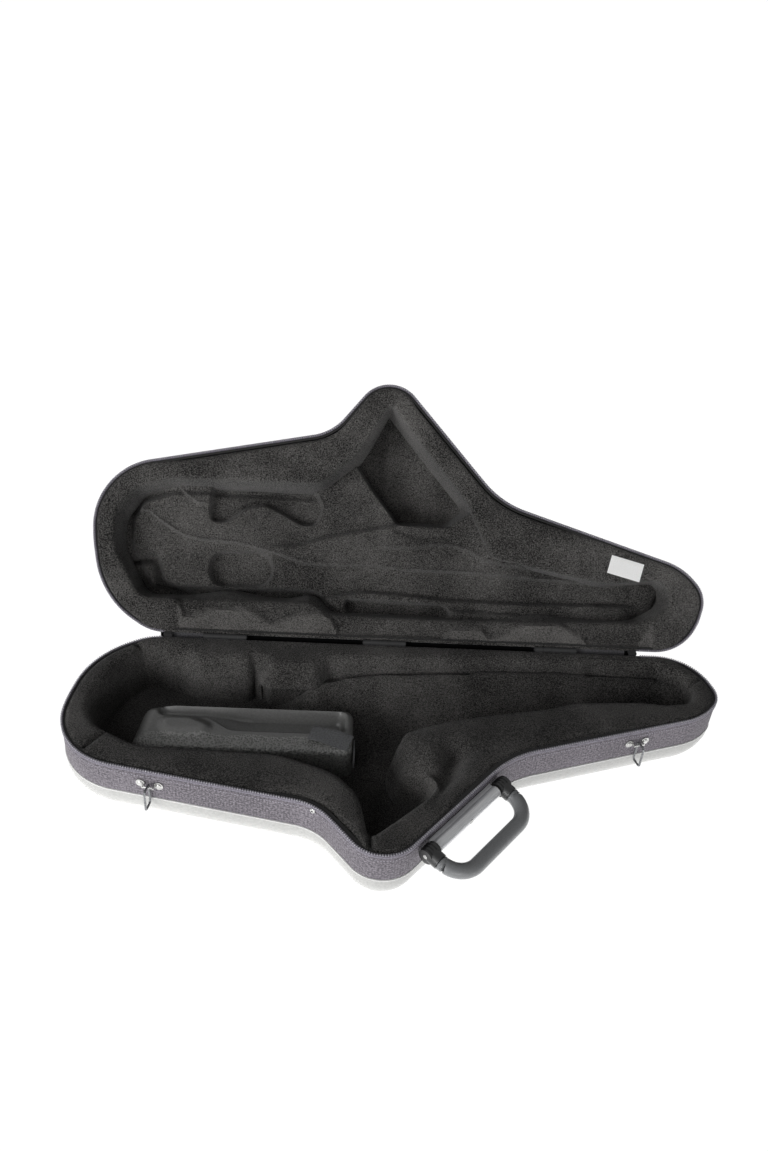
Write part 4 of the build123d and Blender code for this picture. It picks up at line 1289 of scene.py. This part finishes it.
@dataclass
class LidLining:
    """Plush of the lid: a padded border and a formed insert with its recesses and ridges."""

    top: float = 1.6
    floor: float = -40.0
    outer_inset: float = 2.3
    bands: tuple[float, ...] = (0.8, 2.0, 3.8, 6.5, 10.0, 14.0)
    label_half: tuple[float, float] = (23.0, 12.5)
    label_centre: tuple[float, float] = (713, 110)
    label_turn: float = 14.0
    label_top: float = 2.35
    label_thick: float = 0.4

    def build(self) -> None:
        """Makes the border, the insert and the label."""
        self.border()
        self.insert()
        self.label()

    def reach(self, u: Array) -> Array:
        """How far the lobes reach in from the hinge at each u."""
        lobes = np.array(LID_LOBES, float)
        return np.interp(u, lobes[:, 0], lobes[:, 1])

    def brushed(self, points: Array) -> Array:
        """Share of painted highlight on the lit lobes: one on the lobes, zero elsewhere.

        Args:
            points: N by 3 points of the border.

        Returns:
            Share at each point.
        """
        u, v = to_uv(points)
        reach = self.reach(u)
        inside = step(reach - v + 1.5, 3.0) * step(52 - v, 8.0) * step(points[:, 2] + 9, 4.0)
        return inside * step(40 - reach, 6.0)

    def border(self) -> None:
        """Padded ring whose inner edge rolls over into a soft wall."""
        inner = Curve.rounded(LID_HOLLOW, 3.0)
        u, v = to_uv(CASE.points)
        slack = 3.4 * step(v - 225, 20) * step(330 - u, 40) * step(u - 90, 60)
        slack += 3.6 * step(u - 415, 30) * step(640 - u, 120) * step(v - 120, 30)
        slack -= 1.6 * step(6 - v, 8.0)
        outer = CASE.inset(self.outer_inset + slack)

        def height(places: Array) -> Array:
            """Quarter circles fall to both edges, and the lobes stand above the rest by the hinge.

            Args:
                places: plan places.

            Returns:
                Height of each place.
            """
            u, v = to_uv(places)
            reach = self.reach(u)
            fall = 5.5 * shoulder(line_distance(places, looped(inner.points)), 7.0)
            fall += (1.0 + 3.4 * step(v - 14, 16.0)) * shoulder(line_distance(places, looped(outer)), 6.0)
            fall += 7.0 * step(v - reach, 5.0) * step(52 - v, 12.0)
            fall += 5.0 * np.clip(1 - v / np.maximum(reach, 8.0), 0, 1) * step(40 - reach, 10.0)
            return self.top - fall + ripple(places, 0.5)

        edge = at_height(inner.points, height(inner.points))
        share = np.linspace(0, 1, 11)[:, None]
        drop = share * (edge[None, :, 2] - self.floor + 14)
        u, v = to_uv(inner.points)
        lumps = step(60 - v, 20) * (8 * bell(u - 180, 36) + 6 * bell(u - 292, 20) + 8 * bell(u - 600, 40))
        soft = step(v - 150, 40) * step(370 - u, 40) * 4
        lean = np.sin(np.clip(share * 2, 0, 1) * math.pi / 2) * (lumps + soft)[None] + 5 * share
        patches = [
            filled([outer, inner.points], height, 5.0, self.bands),
            skirt(edge, lean, drop, inner.normals),
            grid(np.stack([at_height(outer, -6.0), at_height(outer, height(outer))]), closed=True),
        ]
        piece = Piece("lid_border_plush", patches, Body.LID)
        # Stores the share of painted highlight that draws the lit lobes lighter.
        piece.mark(PAINTED_LIGHT_ATTRIBUTE, self.brushed(np.vstack([patch.points for patch in patches])))
        piece.join_up().dress(PLUSH, "plush").settle(Body.LID, "lid_border_pad")

    def relief(self, places: Array) -> Array:
        """Height of the insert: terraces that step at crest lines, then recesses, grooves and ridges.

        A terrace rises by a smooth step where v passes the crest line's v at that u, and a shelf
        where v falls short of it. A recess is a smooth step of the signed distance to its outline.
        A sunk line or ridge is a bell of the distance to its path. A channel runs along the left edge.

        Args:
            places: plan places.

        Returns:
            Height of each place.
        """
        u, v = to_uv(places)
        z = np.full(len(places), self.floor)
        for side, table in ((1, LID_TERRACES), (-1, LID_SHELVES)):
            for rows, rise, width, fade in table:
                line = np.array(rows, float)
                ends = step(u - line[0, 0], fade) * step(line[-1, 0] - u, fade)
                z += rise * (step(side * (v - np.interp(u, line[:, 0], line[:, 1])), width) * ends)
        for rows, depth, width in LID_SHAPES:
            z += depth * step(depth_in(places, Curve.rounded(rows, 2.5).points), width)
        for rows, rise, width in LID_LINES:
            z += rise * bell(line_distance(places, plan(rows)), width)
        edge = depth_in(places, Curve.rounded(LID_HOLLOW, 3.0).points)
        z -= 20 * step(15 - edge, 9.0) * step(310 - u, 40) * step(188 - v, 30)
        return z + ripple(places, 0.6)

    def insert(self) -> None:
        """Height surface over the lid's hollow, run on behind the border's soft wall."""
        top = filled([Curve.rounded(LID_HOLLOW, 4.0).inset(-3.0)], self.relief, 2.1)
        piece = Piece("lid_insert_plush", [top], Body.LID).join_up()
        piece.dress(PLUSH, "plush").settle(Body.LID, "lid_insert")

    def label(self) -> None:
        """Bare woven label that lies on the border, turned with the case's edge."""
        turn = math.radians(self.label_turn)
        long, wide = self.label_half
        along, across = np.meshgrid(np.linspace(-long, long, 24), np.linspace(-wide, wide, 14), indexing="ij")
        centre = plan([self.label_centre])[0]
        x = centre[0] + along * math.cos(turn) - across * math.sin(turn)
        y = centre[1] + along * math.sin(turn) + across * math.cos(turn)
        edge = np.maximum(np.abs(along) / long, np.abs(across) / wide)
        upper = np.stack([x, y, self.label_top - 0.3 * edge**8], axis=-1)
        lower = upper - np.array([0, 0, self.label_thick])
        piece = Piece("label_weave", slab(upper, lower, np.stack([along, across], axis=-1)), Body.LID)
        piece.join_up(True, 50).dress(LABEL, "label_cloth").settle(Body.LID, "label")


@dataclass
class Handle:
    """Carrying handle: a bent tube between two ribbed collars, on a bored sleeve."""

    centre: tuple[float, float, float] = (69.624, -145.052, 72.0)
    along: tuple[float, float, float] = (0.667123, 0.744947, 0.0)
    out: tuple[float, float, float] = (0.744947, -0.667123, 0.0)
    up: tuple[float, float, float] = (0.0, 0.0, 1.0)
    span: float = 133.0
    reach: float = 45.0
    bend: float = 28.0
    start: float = 14.6
    radius: float = 9.0
    flatness: float = 0.94
    droop: float = 10.0

    def build(self) -> None:
        """Makes the grip: a ring swept along the path, necked at both ends and closed there."""
        path, side = self.path()
        turn = np.linspace(0, 2 * math.pi, 28, endpoint=False)
        length = run_lengths(path)
        ends = np.minimum(length, length[-1] - length)
        swell = self.radius * (1 - 0.10 * bell(ends - 5.5, 1.6) - 0.25 * step(0.8 - ends, 1.6))
        ring = np.cos(turn)[None, :, None] * side[:, None, :]
        ring = ring + self.flatness * np.sin(turn)[None, :, None] * np.array(self.up)
        rows = path[:, None, :] + swell[:, None, None] * ring
        first, last = (np.repeat(end[None, None], len(turn), axis=1) for end in (path[0], path[-1]))
        patch = grid(self.placed(np.concatenate([first, rows, last])), closed=True)
        piece = Piece("handle_grip_moulded", [patch], None)
        piece.join_up(True).dress(GRIP, "grip_rubber").settle(Body.HANDLE, "handle_grip")

    def path(self) -> tuple[Array, Array]:
        """Centre line and its sideways direction: two legs, two quarter circles and the bar.

        Returns:
            The line's points and the directions at them.
        """
        half, bend = self.span / 2, self.bend
        turn = np.linspace(0, math.pi / 2, 13)
        leg = np.column_stack([np.full(9, -half), np.linspace(self.start, self.reach - bend, 9)])
        fine = np.column_stack([np.full(8, -half), self.start + np.linspace(0, 8, 8)])
        leg = np.vstack([fine, leg[leg[:, 1] > fine[-1, 1] + 0.5]])
        arc = np.column_stack([-half + bend * (1 - np.cos(turn)), self.reach - bend + bend * np.sin(turn)])
        bar = np.column_stack([np.linspace(-half + bend, 0, 8), np.full(8, self.reach)])
        left = np.vstack([leg, arc[1:], bar[1:]])
        line = np.vstack([left, left[::-1][1:] * np.array([-1, 1])])
        ahead = np.gradient(line, axis=0)
        ahead /= np.linalg.norm(ahead, axis=1)[:, None]
        side = np.stack([ahead[:, 1], -ahead[:, 0]], axis=1)
        return at_height(line, 0.0), at_height(side, 0.0)

    def placed(self, local: Array) -> Array:
        """Turns along, outward and upward distances into the row frame, hung by the droop angle.

        Args:
            local: distances along, outward and up, in the last axis.

        Returns:
            Points in millimetres.
        """
        droop = math.radians(self.droop)
        along, out, rise = local[..., :1], local[..., 1:2], local[..., 2:]
        outward = out * math.cos(droop) + rise * math.sin(droop)
        upward = -out * math.sin(droop) + rise * math.cos(droop)
        frame = (along, self.along), (outward, self.out), (upward, self.up)
        return np.array(self.centre) + sum(share * np.array(way) for share, way in frame)


@dataclass
class Gusset:
    """Cloth over the hinge line that joins both halves, slung round the hinge axis."""

    middle: tuple[tuple[float, float], ...] = ((94, 109), (206.5, 362.5), (417.5, 593.2), (716, 732))
    tabs: tuple[tuple[float, float], ...] = ((151.5, 206.5), (362.5, 417.5), (593.2, 648.2))
    ends: tuple[tuple[float, float], ...] = ((109, 151.5), (648.2, 716))
    lips: tuple[float, float] = (96, 736)
    lip: tuple[tuple[float, float], ...] = (
        (-0.4, -6.0), (0.9, -0.4), (1.2, 0.4), (0.7, 1.2), (-0.8, 1.5), (-2.6, 1.0)
    )
    first: float = 217.6
    last: float = 373.75
    radius: float = 4.9

    def build(self) -> None:
        """The cloth between the hinges and the two lips. The cloth is near black in the middle, partly its
        own black and partly painted shade, grey at its ends as painted light, and mid grey at the hinges.
        """
        # One cloth in three shades: near black in the middle as painted shade, grey at the ends as painted
        # light.
        self.strip("hinge_gusset", self.middle, BLACK_CLOTH_PAINTED_SHADE, "spine_tape_base")
        self.strip("hinge_gusset_ends_painted_light", self.ends, GUSSET_END_PAINTED_LIGHT, "spine_tape_lid")
        self.strip("hinge_gusset_tabs", self.tabs, GUSSET_TAB)
        for body in (Body.BASE, Body.LID):
            lip = self.drawn(self.lips, 60, self.lip, 2.0)
            piece = Piece(f"hinge_lip_{body.value}", [lip], body)
            piece.join_up().dress(PLUSH, "plush").settle(body)

    def drawn(
        self, span: Sequence[float], count: int, profile: Sequence[Sequence[float]], climb: float
    ) -> Patch:
        """A profile of y and z drawn along the hinge.

        Args:
            span: first and last u.
            count: number of points along the hinge.
            profile: rows of y and z.
            climb: distance on the cloth from one row to the next.

        Returns:
            The surface as a patch.
        """
        x = np.linspace(span[0] - MIDDLE, span[1] - MIDDLE, count)
        rows = np.stack([np.column_stack([x, np.full(count, y), np.full(count, z)]) for y, z in profile])
        return grid(rows, cloth=crossed(x, np.arange(len(profile)) * climb))

    def strip(self, name: str, spans: Sequence[tuple[float, float]], finish: Finish, *nodes: str) -> None:
        """A sling about the hinge axis, behind the hinges, from the base's rim corner to the lid's.

        Args:
            name: the piece's name.
            spans: stretches along the hinge, from the case's left end.
            finish: the cloth's material.
            nodes: CAD nodes that the cloth stands for.
        """
        angle = np.radians(np.linspace(self.first, self.last, 19))
        sling = np.array(HINGE) + self.radius * np.column_stack([np.cos(angle), np.sin(angle)])
        low = np.array([[BACK - 0.6, RIM - 8.0], [BACK - 0.4, RIM - 2.0]])
        high = to_world(np.array([[0.0, -0.4, -2.0], [0.0, -0.6, -8.0]]), Body.LID)[:, 1:] / MM
        line = np.vstack([low, sling, high])
        piece = Piece(name, [self.drawn(span, 30, line, 1.2) for span in spans], None)
        piece.join_up(outwards=False).dress(finish, "zip_tape")
        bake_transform(piece.object)
        if nodes:
            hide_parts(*nodes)
        log.info("%s: bends between base and lid", name)


class CadDress:
    """Finishes of the CAD nodes that stay showing, by how their names start; the rest are steel."""

    finishes: dict[str, Finish] = {
        "base_shell": SHELL,
        "lid_shell": SHELL,
        "handle_sleeve": SLEEVE,
        "handle_collar": COLLAR,
        "strap_ring": RING,
        "zip_slider": HINGE_STEEL,
        "zip_pull": HINGE_STEEL,
        "hinge": HINGE_STEEL,
    }

    def build(self, nodes: dict[str, bpy.types.Object]) -> None:
        """Gives each CAD node its finish.

        Args:
            nodes: the frame's nodes by name.
        """
        for name, node in nodes.items():
            found = [finish for start, finish in self.finishes.items() if name.startswith(start)]
            node.data.materials.clear()
            node.data.materials.append(material_of((found + [STEEL])[0]))


@dataclass
class Studio:
    """Pale floor, plain soft lamps and the camera, which was solved from the photograph's two rims."""

    eye: tuple[float, float, float] = (-0.1002, -0.9186, 0.9887)
    right: tuple[float, float, float] = (0.99753, -0.01691, 0.06815)
    up: tuple[float, float, float] = (-0.04438, 0.60035, 0.79850)
    back: tuple[float, float, float] = (-0.05442, -0.79955, 0.59812)
    aim: tuple[float, float, float] = (0.0, 0.05, 0.1)
    lens: float = 32.47
    floor_size: float = 8.0
    floor_glow: float = 1.3

    def build(self) -> None:
        """Makes floor, world, lamps and camera."""
        self.floor()
        self.world()
        self.lamp("lamp_left", (-1.7, -1.35, 0.75), (1.1, 0.8), 26.0)
        self.lamp("lamp_front", (0.5, -3.0, 0.65), (1.3, 0.8), 19.0)
        self.lamp("lamp_high", (-0.9, -1.6, 1.7), (0.9, 0.6), 5.0)
        self.camera()

    def white_to_camera(self, tree: bpy.types.NodeTree, surface: Socket, kind: str) -> Socket:
        """Mixes a surface with plain white, which only camera rays see.

        Args:
            tree: the node tree.
            surface: what other rays see.
            kind: the white shader's node kind.

        Returns:
            The mixed shader's socket.
        """
        glow = add_node(tree, kind, Color=(1, 1, 1, 1), Strength=1.0)
        path = add_node(tree, "LightPath")
        ends = {0: path.outputs["Is Camera Ray"], 1: surface, 2: glow.outputs[0]}
        return add_node(tree, "MixShader", ends).outputs[0]

    def floor(self) -> None:
        """Large level floor that lights the case from below, white to the camera but for a faint shadow."""
        mesh = bpy.data.meshes.new("floor")
        size = self.floor_size
        corners = [(-size, -size, 0), (size, -size, 0), (size, size, 0), (-size, size, 0)]
        mesh.from_pydata(corners, [], [(0, 1, 2, 3)])
        floor = bpy.data.objects.new("floor", mesh)
        bpy.context.scene.collection.objects.link(floor)
        material = bpy.data.materials.new("pale_floor")
        material.use_nodes = True
        tree = material.node_tree
        shader = tree.nodes["Principled BSDF"]
        shader.inputs["Base Color"].default_value = linear("#f6f6f6")
        shader.inputs["Roughness"].default_value = 0.9
        shader.inputs["Emission Color"].default_value = (1, 1, 1, 1)
        shader.inputs["Emission Strength"].default_value = self.floor_glow
        white = self.white_to_camera(tree, shader.outputs[0], "Emission")
        soft = add_node(tree, "MixShader", {0: 0.93, 1: shader.outputs[0], 2: white})
        tree.links.new(soft.outputs[0], tree.nodes["Material Output"].inputs["Surface"])
        mesh.materials.append(material)

    def world(self) -> None:
        """Dim even surroundings, brighter in reflections and plain white to the camera."""
        world = bpy.data.worlds.new("studio")
        bpy.context.scene.world = world
        world.use_nodes = True
        tree = world.node_tree
        background = tree.nodes["Background"]
        background.inputs["Color"].default_value = (1, 1, 1, 1)
        glossy = {0: add_node(tree, "LightPath").outputs["Is Glossy Ray"], 1: 0.5, 2: 0.09}
        strength = add_node(tree, "Math", glossy, operation="MULTIPLY_ADD")
        tree.links.new(strength.outputs[0], background.inputs["Strength"])
        white = self.white_to_camera(tree, background.outputs[0], "Background")
        tree.links.new(white, tree.nodes["World Output"].inputs["Surface"])

    def lamp(self, name: str, place: Sequence[float], size: Sequence[float], power: float) -> None:
        """Soft rectangular lamp that faces the case.

        Args:
            name: its name.
            place: its middle.
            size: width and height.
            power: watts.
        """
        data = bpy.data.lights.new(name, "AREA")
        data.shape = "RECTANGLE"
        data.size, data.size_y = size
        data.energy = power
        lamp = bpy.data.objects.new(name, data)
        bpy.context.scene.collection.objects.link(lamp)
        turn = (Vector(self.aim) - Vector(place)).to_track_quat("-Z", "Y")
        lamp.matrix_world = Matrix.Translation(place) @ turn.to_matrix().to_4x4()

    def camera(self) -> None:
        """Places the camera by its three axes."""
        data = bpy.data.cameras.new("camera")
        data.lens = self.lens
        data.clip_end = 50.0
        camera = bpy.data.objects.new("camera", data)
        bpy.context.scene.collection.objects.link(camera)
        turn = Matrix((self.right, self.up, self.back)).transposed().to_4x4()
        camera.matrix_world = Matrix.Translation(self.eye) @ turn
        bpy.context.scene.camera = camera
        bpy.context.scene.view_settings.view_transform = "Standard"


def main() -> None:
    """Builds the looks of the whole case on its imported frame."""
    logging.basicConfig(level=logging.INFO, format="%(name)s: %(message)s")
    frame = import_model()
    CadDress().build(frame["nodes"])
    Covers(Body.BASE, 86.0, 42.0, "base_bottom_cover").build()
    Covers(Body.LID, 100.0, 46.0, "lid_top_cover").build()
    Zip(Body.BASE).build()
    Zip(Body.LID).build()
    for part in (PadRing(), BaseFloor(), Tray(), LidLining(), Handle(), Gusset(), Studio()):
        part.build()


if __name__ == "__main__":
    main()
